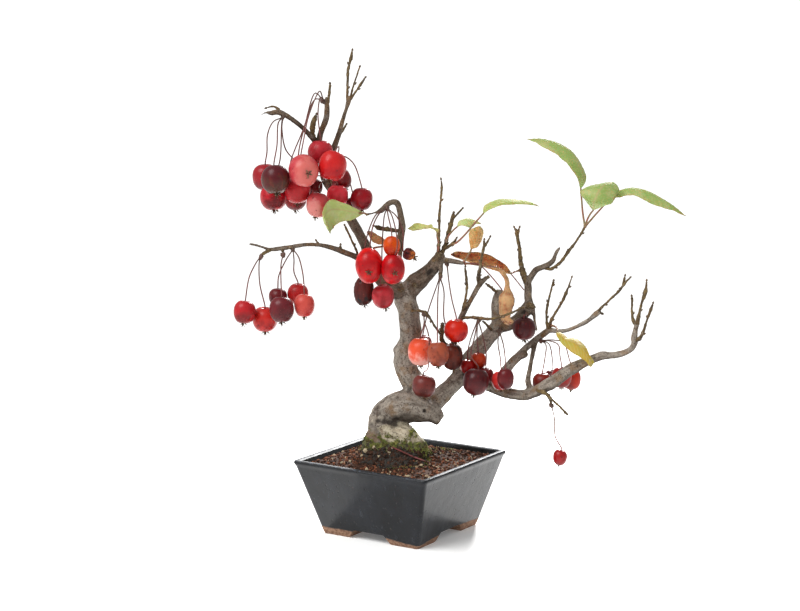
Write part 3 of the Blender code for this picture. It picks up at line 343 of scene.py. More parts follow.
half_gap = FOOT_GAP / 2
arch = [(-half_gap, -MM), (half_gap, -MM), (half_gap, 0)]
arch += [
    (half_gap - FOOT_SLOPE * t, FOOT_HEIGHT * (0.5 - 0.5 * math.cos(math.pi * t)))
    for t in np.linspace(0.1, 1, 10)
]
arch += [(-x, z) for x, z in reversed(arch[2:])]
cutters = [
    cut_from_pot("arch_one", [[(x, y, z) for x, z in arch] for y in (-POT_SIDE, POT_SIDE)]),
    cut_from_pot("arch_two", [[(y, x, z) for x, z in arch] for y in (-POT_SIDE, POT_SIDE)]),
]
turns = np.linspace(0, 2 * math.pi, 48, endpoint=False)
circle = [(DRAIN_RADIUS * math.cos(a), DRAIN_RADIUS * math.sin(a)) for a in turns]
cutters.append(cut_from_pot("drain", [[(x, y, z) for x, y in circle] for z in (0, inside + 4 * MM)]))
work = bmesh.new()
work.from_mesh(pot_mesh)
bmesh.ops.recalc_face_normals(work, faces=work.faces)
work.to_mesh(pot_mesh)
work.free()
bpy.context.view_layer.update()
finished = bpy.data.meshes.new_from_object(pot.evaluated_get(bpy.context.evaluated_depsgraph_get()))
pot.modifiers.clear()
pot.data = finished
for body in cutters:
    bpy.data.objects.remove(body)
soften = pot.modifiers.new("soft edges", "BEVEL")
soften.width = 0.55 * MM
soften.segments = 3
soften.limit_method = "ANGLE"
soften.angle_limit = math.radians(38)
soften.harden_normals = False
finished.polygons.foreach_set("use_smooth", [True] * len(finished.polygons))
finished.set_sharp_from_angle(angle=math.radians(34))
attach(pot, "root")
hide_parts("pot")
print("pot:", len(finished.polygons), "faces")

# %% [markdown]
# Glaze is glass: smooth and mirror-like over a nearly black body, with a faint blue cast, pinholes where
# gas escaped and thin streaks where it ran. The top of the rim is painted grey-blue, partly for wear and
# partly as a painted highlight, and is less glossy there; the feet stay bare brown clay, rough to the touch.

# %% Glazed stoneware
glaze, tree, shader = new_finish("glazed_stoneware", IOR=1.5, Specular_IOR_Level=0.34)
place = add_node(tree, "ShaderNodeTexCoord", out="Object")
height = add_node(tree, "ShaderNodeSeparateXYZ", {0: place}, "Z")
cloud = add_node(tree, "ShaderNodeTexNoise", {"Vector": place, "Scale": 1 / (14 * MM), "Detail": 4.0})
# A run is a few millimetres wide and several times as long, so the place is squeezed along Z.
run_place = add_node(tree, "ShaderNodeMapping", {"Vector": place, "Scale": (1, 1, 0.2)})
runs = add_node(tree, "ShaderNodeTexNoise", {"Vector": run_place, "Scale": 1 / (3 * MM), "Detail": 3.0})
colour = faded(tree, linear("#0b0d11"), linear("#171a20"), cloud, 0.35, 0.7)
colour = faded(tree, colour, linear("#34383f"), runs, 0.64, 0.76, 0.5)
cells = add_node(tree, "ShaderNodeTexVoronoi", {"Vector": place, "Scale": 1 / (2.6 * MM)}, "Distance")
pit = add_node(tree, "ShaderNodeMapRange", {0: cells, 1: 0.08, 2: 0.22, 3: 1.0, 4: 0.0})
where_pits = add_node(tree, "ShaderNodeTexNoise", {"Vector": place, "Scale": 1 / (6 * MM), "Detail": 2.0})
where_pits = add_node(tree, "ShaderNodeMapRange", {0: where_pits, 1: 0.52, 2: 0.6})
pit = add_node(tree, "ShaderNodeMath", {0: pit, 1: where_pits}, operation="MULTIPLY")
colour = faded(tree, colour, linear("#050505"), pit, 0.0, 1.0)
# The grey-blue on the rim top is partly worn glaze and partly a painted highlight.
rim_wear_and_highlight = stained(tree, colour, linear("#4a525e"), place, 1.8 * MM, 0.5, 0.66, 0.7)
colour = faded(tree, colour, rim_wear_and_highlight, height, top - 0.9 * MM, top - 0.1 * MM)
# The glaze stops higher on the side feet than on the front one, in a line that wavers by about 2 mm.
corner = add_node(tree, "ShaderNodeVectorMath", {0: place, 1: (1, -1, 0)}, "Value", operation="DOT_PRODUCT")
bare = add_node(tree, "ShaderNodeMapRange", {0: corner, 1: 10 * MM, 2: 50 * MM, 3: 5.2 * MM, 4: 1.6 * MM})
wander = add_node(tree, "ShaderNodeMath", {0: cloud, 1: 3 * MM}, operation="MULTIPLY")
line = add_node(tree, "ShaderNodeMath", {0: bare, 1: wander}, operation="ADD")
over_line = add_node(tree, "ShaderNodeMath", {0: height, 1: line}, operation="SUBTRACT")
glazed = add_node(tree, "ShaderNodeMapRange", {0: over_line, 1: -2.0 * MM, 2: -1.2 * MM})
clay = stained(tree, linear("#6e4f3d"), linear("#94745e"), place, 1.6 * MM, 0.35, 0.65)
tree.links.new(faded(tree, clay, colour, glazed, 0, 1), shader.inputs["Base Color"])
gloss = add_node(tree, "ShaderNodeMapRange", {0: glazed, 3: 0.8, 4: 0.16})
haze = add_node(tree, "ShaderNodeMapRange", {0: cloud, 1: 0.3, 2: 0.7, 3: 0.0, 4: 0.1})
gloss = add_node(tree, "ShaderNodeMath", {0: gloss, 1: haze}, operation="ADD")
matt = add_node(tree, "ShaderNodeMapRange", {0: height, 1: top - 1.6 * MM, 2: top - 0.4 * MM, 3: 0.0, 4: 0.4})
gloss = add_node(tree, "ShaderNodeMath", {0: gloss, 1: matt}, operation="ADD")
tree.links.new(gloss, shader.inputs["Roughness"])
ripple = add_node(tree, "ShaderNodeBump", {"Height": cloud, "Distance": 0.7 * MM, "Strength": 0.5})
run_edge = {"Height": runs, "Distance": 0.18 * MM, "Strength": 0.35, "Normal": ripple}
ripple = add_node(tree, "ShaderNodeBump", run_edge)
pit_edge = {"Height": pit, "Distance": -0.5 * MM, "Strength": 1.0, "Normal": ripple}
sunk = add_node(tree, "ShaderNodeBump", pit_edge)
tree.links.new(sunk, shader.inputs["Normal"])
pot.data.materials.clear()
pot.data.materials.append(glaze)
print("glaze:", len(tree.nodes), "nodes")

# %% [markdown]
# The square of plastic mesh over the drain hole is hidden under the soil, and only its underside shows
# through the hole. It keeps its frame shape and gets a dull black injection-moulded plastic.

# %% Drain mesh
plastic, tree, shader = new_finish("black_plastic", Roughness=0.55)
place = add_node(tree, "ShaderNodeTexCoord", out="Object")
shade = stained(tree, linear("#121212"), linear("#1e1e1d"), place, 3 * MM, 0.3, 0.7)
tree.links.new(shade, shader.inputs["Base Color"])
drain_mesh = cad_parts["drain_mesh"]
drain_mesh.data.materials.clear()
drain_mesh.data.materials.append(plastic)
print("drain mesh: plastic on", drain_mesh.name)

# %% [markdown]
# Where everything grows. Each limb is a list of places in the front view (across, down), a depth in
# millimetres and a half-width in steps.

# %% Limbs
WOOD = {
    "root_crown": [(398, 487, 0, 17), (398, 472, 0, 23), (394, 457, 0, 25.5), (391, 444, 0, 24.5),
                   (387, 431, 0, 20), (385, 420, 0, 17), (386, 412, 0, 11)],
    "front_root": [(380, 431, -2, 10), (391, 433, -4, 12), (402, 436, -6, 13), (411, 443, -8, 13),
                   (417, 454, -9, 12), (420, 468, -9, 9)],
    "left_root": [(386, 428, 0, 12), (378, 438, -2, 13), (374, 450, -3, 12), (371, 466, -3, 9)],
    "back_root": [(390, 432, 4, 14), (402, 434, 14, 12), (412, 442, 20, 9), (418, 456, 24, 7)],
    "lower_trunk": [(382, 419, 0, 13), (389, 411, 0, 15), (399, 407, -1, 16), (411, 406, -2, 16.5),
                    (423, 409, -3, 13.5), (432, 413, -3, 10.5), (438, 418, -3, 7.5),
                    (441, 420.5, -3, 5.5)],
    "trunk": [(414, 404, -1, 12), (419, 396, 1, 12.6), (415, 386, 3, 12.2), (408.5, 375, 5, 12),
              (405, 363, 6, 12), (406, 351, 5, 11.9), (409.5, 340, 4, 10.8), (410.5, 328, 3, 10.4),
              (409, 315, 1, 10.5), (406.5, 304, 0, 10.9), (406, 295, 0, 11.5), (409, 287, 0, 10)],
    "second_trunk": [(422, 409, 0, 10), (430, 405, 3, 9.6), (439, 398, 6, 9), (451, 386.5, 10, 8.4),
                     (462, 374, 13, 8.6), (469, 362, 16, 8.8), (476, 351.5, 18, 8.3), (484, 342, 19, 8),
                     (493, 332.5, 19, 8), (499, 324, 19, 7.5)],
    "left_limb": [(410, 294, 0, 10), (398, 290, -1, 9), (388, 284, -1, 7.8), (380, 276.5, 0, 7),
                  (374, 266, 2, 6.4), (369, 254, 4, 5.9), (363.5, 242, 6, 5.3), (357, 230, 8, 5),
                  (350, 218, 9, 4.8), (342, 205, 10, 4.6), (334, 193, 10, 4.4), (327.5, 183, 10, 4.3),
                  (324, 172, 9, 4), (325, 160, 8, 3.6), (329, 151, 7, 3.2)],
    "crown_limb": [(403, 296, 0, 9.5), (412, 287, -1, 9.5), (421, 279, -2, 8.6), (429, 271.5, -3, 7.8),
                   (436, 263.5, -4, 6.8), (439.5, 257, -4, 5.4), (439.5, 253, -4, 4)],
    "second_stub": [(499, 326, 19, 6.5), (497, 315, 21, 6), (496.5, 304, 23, 5.5), (498.5, 296, 24, 5),
                    (500, 289.5, 25, 3.6)],
    "knob_limb": [(496, 327, 19, 7), (506, 325.5, 17, 6.3), (515, 321.5, 15, 5.8), (523, 314, 13, 6.2),
                  (529, 307, 13, 6.6), (532, 303, 13, 4.5)],
    "right_limb": [(464, 377, 12, 7), (475, 380, 8, 6.4), (487, 385, 3, 5.7), (500, 390.5, -1, 5.6),
                   (512, 394, -5, 5.9), (523, 395, -9, 5.9), (534, 392, -12, 5.8), (546, 386, -15, 6.1),
                   (558, 378.5, -18, 6.1), (570, 370, -20, 5.7), (582, 363.5, -22, 4.9),
                   (593, 359, -23, 4.6), (602, 355.5, -24, 4.4), (612, 355.3, -25, 3.4),
                   (623, 353.3, -26, 3.3), (630.5, 349.5, -27, 3.2), (634.5, 343.5, -27, 3.3),
                   (634.3, 338, -27, 3.4), (635.5, 330, -27, 2.5), (637.6, 321, -28, 2.6)],
    "upper_limb": [(499, 391, 0, 4.5), (501.5, 380, 4, 5), (506, 370, 8, 5), (513, 361.5, 11, 4.6),
                   (521, 354, 13, 4.6), (526, 348, 14, 3.8), (534, 341.5, 14, 3.5), (542, 335.5, 13, 3.3),
                   (549, 330.5, 11, 3.3), (556, 331, 8, 2.3), (565, 330.8, 5, 2.1), (575, 327.3, 2, 2.1),
                   (584, 323, -1, 2.4), (590, 319, -3, 2.3), (596, 314, -5, 2.9), (599.5, 311, -6, 2.4)],
    "cut_stub": [(519, 356, 13, 3.8), (524, 354.5, 10, 3.8), (526, 354, 8, 3.2)],
    "trunk_stub": [(602, 356, -24, 3.2), (602.5, 352, -24, 2.4)],
    "cross_limb": [(530, 388, -10, 3.2), (528, 380, -6, 2.9), (530, 368, 0, 2.4), (532, 357, 6, 2.2),
                   (534, 348, 11, 2.3), (536, 341, 14, 2)],
    "middle_limb": [(466, 370, 15, 4), (456, 356, 10, 3.4), (454, 342, 5, 2.9), (457, 328, 1, 2.6),
                    (461.5, 317, -1, 2.8), (466, 308.5, -3, 2.8), (472, 298, -5, 2.4),
                    (478, 287, -6, 2.5), (483, 281, -7, 2.4), (487, 277.3, -8, 2.1)],
    "grey_stub": [(455, 353, 9, 2.4), (443, 342, 2, 2.2), (442, 333, 0, 2), (442.5, 325, -1, 2)],
    "lower_branch": [(377, 270, 1, 4.4), (367, 262.5, -3, 3.6), (356, 257, -7, 3.2),
                     (345, 252.5, -11, 2.9), (335, 248.7, -14, 2.7), (325, 246, -17, 2.4),
                     (314, 244.6, -19, 2.1), (302, 245, -21, 2), (291, 247, -23, 2.1),
                     (280, 248.5, -24, 2.2), (270, 249.5, -25, 1.9), (262, 247, -26, 1.3),
                     (255, 245, -27, 1.3), (249, 244, -28, 0.9)],
    "fruit_spur": [(392, 285, -2, 4), (396, 268, -4, 3.6), (399, 252, -6, 3.5), (400.5, 238, -7, 3.5),
                   (402, 225, -8, 3.3), (399.8, 211, -9, 3), (397, 203, -10, 3.2), (391, 202.3, -11, 3),
                   (385.5, 206.3, -12, 2.7), (380.5, 211, -13, 2.6), (374, 213, -14, 1.1),
                   (367, 214.5, -15, 1.6)],
    "fork_trunk": [(530, 308, 13, 5), (528, 297, 14, 3.9), (528, 287, 15, 3.8), (527.3, 280, 15, 3.9)],
    "fork_left": [(527, 283, 15, 3.2), (523.3, 274, 17, 2.9), (520.7, 262, 20, 2.2),
                  (519.7, 250, 22, 1.8), (517.6, 238, 24, 1.7), (516.8, 232, 25, 1.8),
                  (514.8, 228, 25, 0.9)],
    "fork_left_tip": [(517.3, 234, 25, 1.3), (519.3, 228, 26, 1.0)],
    "fork_right": [(527, 284, 15, 3.4), (532, 275.5, 14, 3.3), (536.5, 269.5, 12, 3.1),
                   (543, 267, 10, 2.9), (549, 264.3, 8, 3), (553.5, 260, 7, 2.6), (555, 255.5, 6, 2),
                   (557.3, 251, 5, 1.8), (560.3, 247, 4, 1)],
    "leader": [(544, 267.5, 10, 2), (550.5, 269, 8, 1.7), (556, 266, 6, 1.5), (562, 260.7, 4, 1.5),
               (568, 252, 2, 1.6), (575, 243, 0, 1.2), (581, 234, -2, 1.1), (584.6, 227.5, -3, 1.3)],
    "knob_spur": [(532, 306, 13, 3), (534, 315, 12, 1.9), (535, 323, 11, 1.3), (537, 331, 10, 1.3)],
    "top_right": [(326, 156, 8, 3.3), (333, 149, 6, 3), (336.5, 141, 4, 2.8), (339.5, 132, 2, 2.5),
                  (342.5, 121, 0, 2.2), (346, 110, -2, 1.9), (348.7, 101, -3, 2.7), (350, 96, -4, 2.3)],
    "top_leader": [(348, 101, -3, 1.8), (347.4, 95, -3, 1.3), (347.6, 83, -4, 1.2), (348, 71, -5, 1.4),
                   (349.8, 62, -5, 1.2), (351.3, 57, -6, 1.5), (352, 51, -6, 0.8)],
    "dark_twig": [(350.5, 97, -4, 1.1), (354, 84, -1, 0.8), (359.5, 67.5, 3, 0.8)],
    "top_side": [(351, 99, -4, 1.4), (356.5, 90.5, -7, 1), (361, 84, -9, 1.3), (365, 78, -11, 0.9)],
    "top_stub": [(339, 135, 2, 1.6), (343, 130, 5, 1.1), (346, 125, 7, 1.1)],
    "top_centre": [(326, 158, 8, 3.2), (320, 147, 5, 3.2), (320, 136, 3, 3.1), (323.5, 126, 1, 3),
                   (326.5, 117, 0, 2.8), (327, 107, -1, 2.6), (326, 99, -1, 2.3)],
    "black_stub": [(328, 103, -1, 1.6), (329.5, 92, 0, 1.3), (330, 84.5, 1, 1.3)],
    "pale_stub": [(317, 143, 3, 2), (312.6, 134, 0, 2.2), (313, 124, -2, 2.7), (316, 115, -3, 1.4)],
    "top_left": [(321, 149, 5, 2.9), (313, 139, 0, 2.8), (304, 129, -5, 2.4), (295, 121.5, -9, 2.3),
                 (287, 116, -12, 2.7), (278.5, 112, -15, 3), (271, 113, -17, 2.2), (266, 112.5, -18, 1),
                 (260, 115.5, -19, 0.6)],
    "top_left_claw": [(279, 110, -14, 1.8), (274, 106.5, -13, 0.9), (267, 107.5, -12, 0.6)],
    "dark_side_twig": [(356, 256, -7, 1.4), (357, 252, -8, 1.2), (351.5, 240, -12, 1),
                       (345, 226, -16, 1.1)],
    "side_spur": [(401, 231, -7, 1.8), (389, 229.7, -3, 1.9), (379, 228, 0, 2.1), (375, 226, 1, 1.4)],
    "crown_twig": [(438.7, 256, -4, 2.4), (438.6, 245, -4, 1.7), (439.2, 232, -3, 1.2),
                   (439.4, 215, -2, 1.3), (440.6, 200, -1, 1), (441.8, 188, 0, 1.2),
                   (441.3, 180, 0, 0.6)],
    "crown_spur": [(440.5, 256, -4, 2.6), (445, 246, -1, 2.1), (447.5, 236, 2, 1.8), (450.5, 226, 5, 2.3),
                   (452.5, 218.5, 7, 2.1), (453.6, 213.5, 8, 1.7)],
    "crown_spur_tip": [(452.5, 219.5, 7, 1.2), (456.5, 215, 10, 1), (462, 209, 14, 1)],
    "crown_bud": [(443, 250, -2, 1.6), (450, 245.5, -7, 1.5), (454, 242, -10, 1.4),
                  (456.3, 238.5, -12, 0.7)],
    "crown_arm": [(438, 260, -4, 3), (448, 260.5, -7, 2.7), (457, 262, -10, 2.5),
                  (464.5, 263.5, -12, 1.7)],
    "crown_pendant": [(440.5, 262, -6, 3), (441, 270, -9, 2.3), (440, 276.5, -10, 1.9)],
    "trunk_twig": [(409, 311, -3, 2), (419, 310.8, -11, 1.3), (426, 313.3, -15, 1.8),
                   (431, 320, -15, 1.1), (436, 328, -13, 1.1), (440.5, 334.5, -11, 1.2)],
    "middle_joint": [(463, 312, -2, 2), (465.3, 306, -4, 2.8), (465.4, 300, -5, 1.2), (467, 287, -6, 1.3),
                     (465.6, 272, -5, 1.1), (465.3, 267.5, -5, 0.9)],
    "middle_twig": [(480, 286, -6, 2.3), (478.5, 278, -8, 2), (480, 268, -14, 1.5),
                    (482, 256, -15.5, 1.3), (484, 246, -15, 1.5), (484.3, 240.5, -16, 0.9)],
    "middle_twig_tip": [(483.6, 248, -15, 1.2), (487, 243, -16, 1.1), (489.8, 237.5, -17, 0.8)],
    "long_twig": [(461, 318, -1, 1.6), (470, 317.5, -5, 1.3), (478, 318, -9, 1.6), (489, 319, -14, 1.2),
                  (500, 317, -18, 1.2), (512, 312.5, -19, 1), (524, 307, -18, 0.9)],
    "stub_twig": [(500, 295, 24, 1.7), (494, 290, 22, 1.4), (487, 284.5, 19, 1.3)],
    "hook_twig": [(492, 331, 16, 1.7), (488, 326, 12, 1.2), (484, 322, 9, 1)],
    "upper_twig": [(548, 331, 11, 2.1), (546.6, 319, 14, 1.2), (547, 308, 17, 1.3), (549.5, 297, 19, 1),
                   (552, 287, 21, 1), (553.5, 281.5, 22, 1.5)],
    "upper_twig_front": [(548.5, 330, 11, 2), (551, 321, 8, 1.6), (556, 312, 5, 1.2),
                         (561.5, 303, 2, 1.2), (565.5, 294.5, 0, 1.5), (568, 288, -2, 1),
                         (571.6, 278, -4, 0.6)],
    "upper_limb_tip": [(597, 313, -5, 2), (602, 307, -7, 1.3), (610, 299.5, -9, 1.1),
                       (619.3, 290.7, -12, 1.3), (625, 283, -14, 1.1), (629.6, 278.2, -15, 0.8)],
    "upper_limb_bud": [(622.5, 287, -13, 1), (624, 281, -13, 1.3), (624.8, 276.5, -13, 0.7)],
    "upper_limb_stub": [(598, 312, -5, 2.2), (601.3, 313, -5, 1.8)],
    "right_tip_middle": [(637, 324, -28, 2.4), (639.6, 312, -29, 1.5), (642, 302, -30, 1.3),
                         (645, 294, -31, 2), (646.2, 287, -32, 1.4), (646.7, 281.5, -32, 0.8)],
    "right_tip_left": [(636.5, 326, -27, 1.8), (633.2, 320.5, -25, 1.6), (632, 311, -23, 1.1),
                       (632, 303, -22, 1.1), (632, 297, -21, 1.5)],
    "right_tip_right": [(635, 341, -27, 2.4), (640, 338, -30, 1.8), (643.6, 331, -33, 1.5),
                        (646.5, 321.5, -35, 1), (650, 312, -37, 1.4), (652.8, 304, -38, 1)],
    "pendant_twig": [(538, 390, -15, 2.6), (546, 394, -20, 1.9), (552, 399.5, -22, 1.3),
                     (558, 405, -23, 1.1), (563, 410, -23, 1.1), (566.4, 413.5, -23, 1.9)],
    "pendant_spur": [(547, 394, -20, 1.7), (550, 400, -18, 1.3), (551.6, 403.5, -17, 1.2)],
    "left_branch_spur": [(271, 249.5, -25, 1.8), (266, 252, -26, 1.7), (261.5, 255, -27, 1.1)],
    "left_branch_knob": [(282, 248.6, -24, 1.6), (283.3, 252.3, -25, 1.5)],
    "left_branch_bud": [(319, 245, -18, 1.6), (316.8, 241.3, -18, 1.1)],
    "left_branch_stub": [(340, 250, -13, 2), (340.3, 245.8, -13, 1.5)],
}
print("limbs:", len(WOOD))

# %% [markdown]
# Crabapples hang in bunches from short spurs. A bunch names its seat on the wood, the way it leaves, and for
# each apple its place, half-width, half-height, lean to the right and away, and the bends of its stalk.

# %% Bunches
DOWN = (0, 0, -1)
BUNCHES = {
    "apples_top_left": ((283, 114.5, -14), DOWN, [
        (265.5, 177, 2, 12.6, 13, 0, 0, [(273, 122, -9), (267.5, 135, -4), (267, 152, -2)]),
        (275.5, 179.5, -24, 13.6, 14.2, 0.1, -0.2, [(278, 124, -17), (277, 145, -21)]),
        (273.5, 197.5, -8, 13, 12.6, 0.1, -0.1, [(281.5, 126, -14), (280, 160, -14)]),
        (299.5, 177, 2, 10.5, 10.8, 0, 0.1, [(282, 130, -12), (286, 150, -4)])]),
    "apples_top": ((324, 101, -1), (-0.8, -0.3, 0.3), [
        (304, 170.5, -26, 14.2, 15.4, 3, -8, [(319, 91.5, -8), (309, 115, -13), (304, 138, -18)]),
        (297.5, 190, -14, 12.6, 13.2, 0, 0, [(314, 94, -6), (305, 125, -11), (299, 150, -12)]),
        (320.5, 152.8, -6, 12.3, 12.4, 0, 0, [(320, 98, -8), (318, 115, -7)]),
        (295.5, 199, 9, 10.8, 11.4, 0, 0, [(313.5, 101, 4), (303, 130, 8), (290, 165, 12)])]),
    "apples_top_middle": ((327, 178, 6), (0.2, -1, 0), [
        (317.5, 205, -19, 11, 12.6, -0.2, -0.1, [(323, 181, -4), (319, 187, -12)]),
        (337.5, 196, -8, 10.6, 11, 0, -0.1, [(331, 178, -4), (335, 181, -7)]),
        (314.5, 187.5, 9, 8.2, 8.6, 0, 0, [(322, 176, 1), (316, 176, 5)])]),
    "apples_top_right": ((327, 157, 6), (0.8, -0.6, 0), [
        (332.5, 166, -22, 13.4, 15, -0.25, -0.2, [(337, 155, 0), (339, 147, -12)]),
        (340.5, 179.5, 4, 10.6, 11, 0.5, 0, [(335, 157, 2), (340, 162, 3)]),
        (361.5, 199.3, -10, 10.6, 11.4, 0, 0, [(338, 157, -3), (346, 157, -4), (355, 166, -5)]),
        (353.5, 204.5, 2, 7.6, 7.4, 0, 0, [(338, 160, 3), (347, 174, 4)])]),
    "apples_left_tip": ((262.5, 254.5, -27), (-0.6, 0, -0.8), [
        (244.5, 312, -34, 10.6, 11.6, -0.1, -0.1, [(256, 263, -30), (249, 278, -33)]),
        (265, 319.5, -26, 12, 12.5, 0, 0, [(259, 266, -28), (260, 285, -27)])]),
    "apples_left_middle": ((283, 252, -25), DOWN, [
        (281.7, 309.5, -42, 11.7, 12.8, 0, -0.15, [(281, 265, -30), (281, 282, -38)])]),
    "apples_left_inner": ((293, 248, -23), DOWN, [
        (278, 297, -18, 8.8, 9, 0, 0, [(286, 260, -23), (279, 275, -20)]),
        (298, 294, -16, 10.2, 10.4, 0, 0, [(294, 260, -22), (294, 272, -18)]),
        (304.3, 305.6, -36, 10, 11.6, 0, -0.1, [(299, 258, -26), (303, 275, -31)])]),
    "apples_centre": ((387, 205, -12), (0.1, -0.5, -0.8), [
        (369, 265.8, -25, 13.1, 17.2, 0, -3.2, [(379, 214, -18), (372, 230, -22)]),
        (391.8, 246, -27, 8.3, 9.6, 0, -0.3, [(388, 215, -18), (391, 228, -23)]),
        (393.2, 268.8, -28, 11.6, 14.8, 0.75, -4.8, [(392, 216, -20), (396, 232, -32), (397, 248, -36)]),
        (364, 291, -8, 10.3, 15, 0.05, 0, [(375, 216, -21), (366, 240, -13), (364, 260, -9)]),
        (383.3, 296.5, -18, 10.8, 12, 0.25, 0, [(384, 218, -16), (382, 250, -16), (382, 270, -17)]),
        (409, 254.2, -14, 6.4, 6.2, 1.4, 0, [(397, 217, -17), (403, 232, -16)])]),
    "apples_crown": ((440, 276, -10), DOWN, [
        (423, 344.5, 17, 9, 9.5, 0, 0, [(435, 291, -2), (428, 312, 9)]),
        (438, 354.3, -26, 10.7, 12.6, 0.05, -0.1, [(438, 294, -17), (437.5, 318, -21)]),
        (452.4, 356.5, -8, 10.6, 14.2, 0.1, 0.1, [(444, 292, -9), (444, 318, -8)])]),
    "apple_crown_arm": ((447, 263, -7), DOWN, [
        (456.3, 330.6, -15, 11.6, 11.6, 0, 0, [(449, 282, -10), (452, 300, -13)])]),
    "apples_trunk_twig": ((424.5, 313, -15), (-0.3, -0.5, -0.8), [
        (420.7, 352, -13, 12.2, 14.2, 0, -0.1, [(424, 324, -17)]),
        (424.2, 386, -18, 11.8, 11.6, 0.05, -0.1, [
            (424.5, 322, -20), (429, 338, -22), (428.5, 366, -20)])]),
    "apples_inner": ((478, 318, -9), DOWN, [
        (476, 382, -16, 12.9, 13.7, -0.15, -0.1, [(475, 335, -12), (471, 355, -15)]),
        (486, 375.5, -5, 7.6, 8, 0, 0, [(482, 333, -4), (486, 352, -4)]),
        (478.3, 361, 0, 7.9, 8.4, 0, 0, [(477, 335, -3)]),
        (467.5, 367, -2, 7.2, 7.4, 0, 0, [(472, 335, -6), (468, 350, -5)])]),
    "apples_fork": ((499, 330, 14), (0.1, -1, -0.6), [
        (501, 380.5, -13, 9.4, 9.8, 0, -0.1, [(498, 343, 4), (500, 356, -5)]),
        (505.5, 379, -29, 8, 10.6, 0, 0, [(503, 343, 3), (505, 356, -14)])]),
    "apple_knob": ((527, 311, 13), (0, -0.9, -0.4), [
        (524.4, 328.8, 3, 11.4, 11.6, 0.05, 0, [(526, 315, 5)])]),
    "apples_lower_right": ((540, 338, 13), (0.2, -0.5, -0.8), [
        (542.5, 382.5, -1, 9.8, 10, 0, 0, [(546, 345, 7), (545, 358, 3)]),
        (552, 378, 10, 8.2, 8.6, 0, 0, [(549, 344, 9), (552, 356, 10)]),
        (561.5, 377.5, -2, 10.2, 10.6, 0, 0, [(550, 341, 6), (558.5, 345, 2), (560, 356, 0)]),
        (571.2, 379.2, 12, 10, 11, 0, 0, [(553, 340, 9), (564, 343, 10), (569, 358, 11)])]),
    "apple_pendant": ((551.5, 403, -17), DOWN, [
        (560, 457.3, -22, 7, 8.2, -0.2, 0, [(554.4, 418, -19), (555.2, 436, -21)])]),
}
print("bunches:", len(BUNCHES))

# %% [markdown]
# Few leaves are left in autumn. A leaf names its seat on the wood, the way it leaves, the bends of its stalk
# and the two edges of its blade, station by station from foot to tip. The shoot's three share one seat.

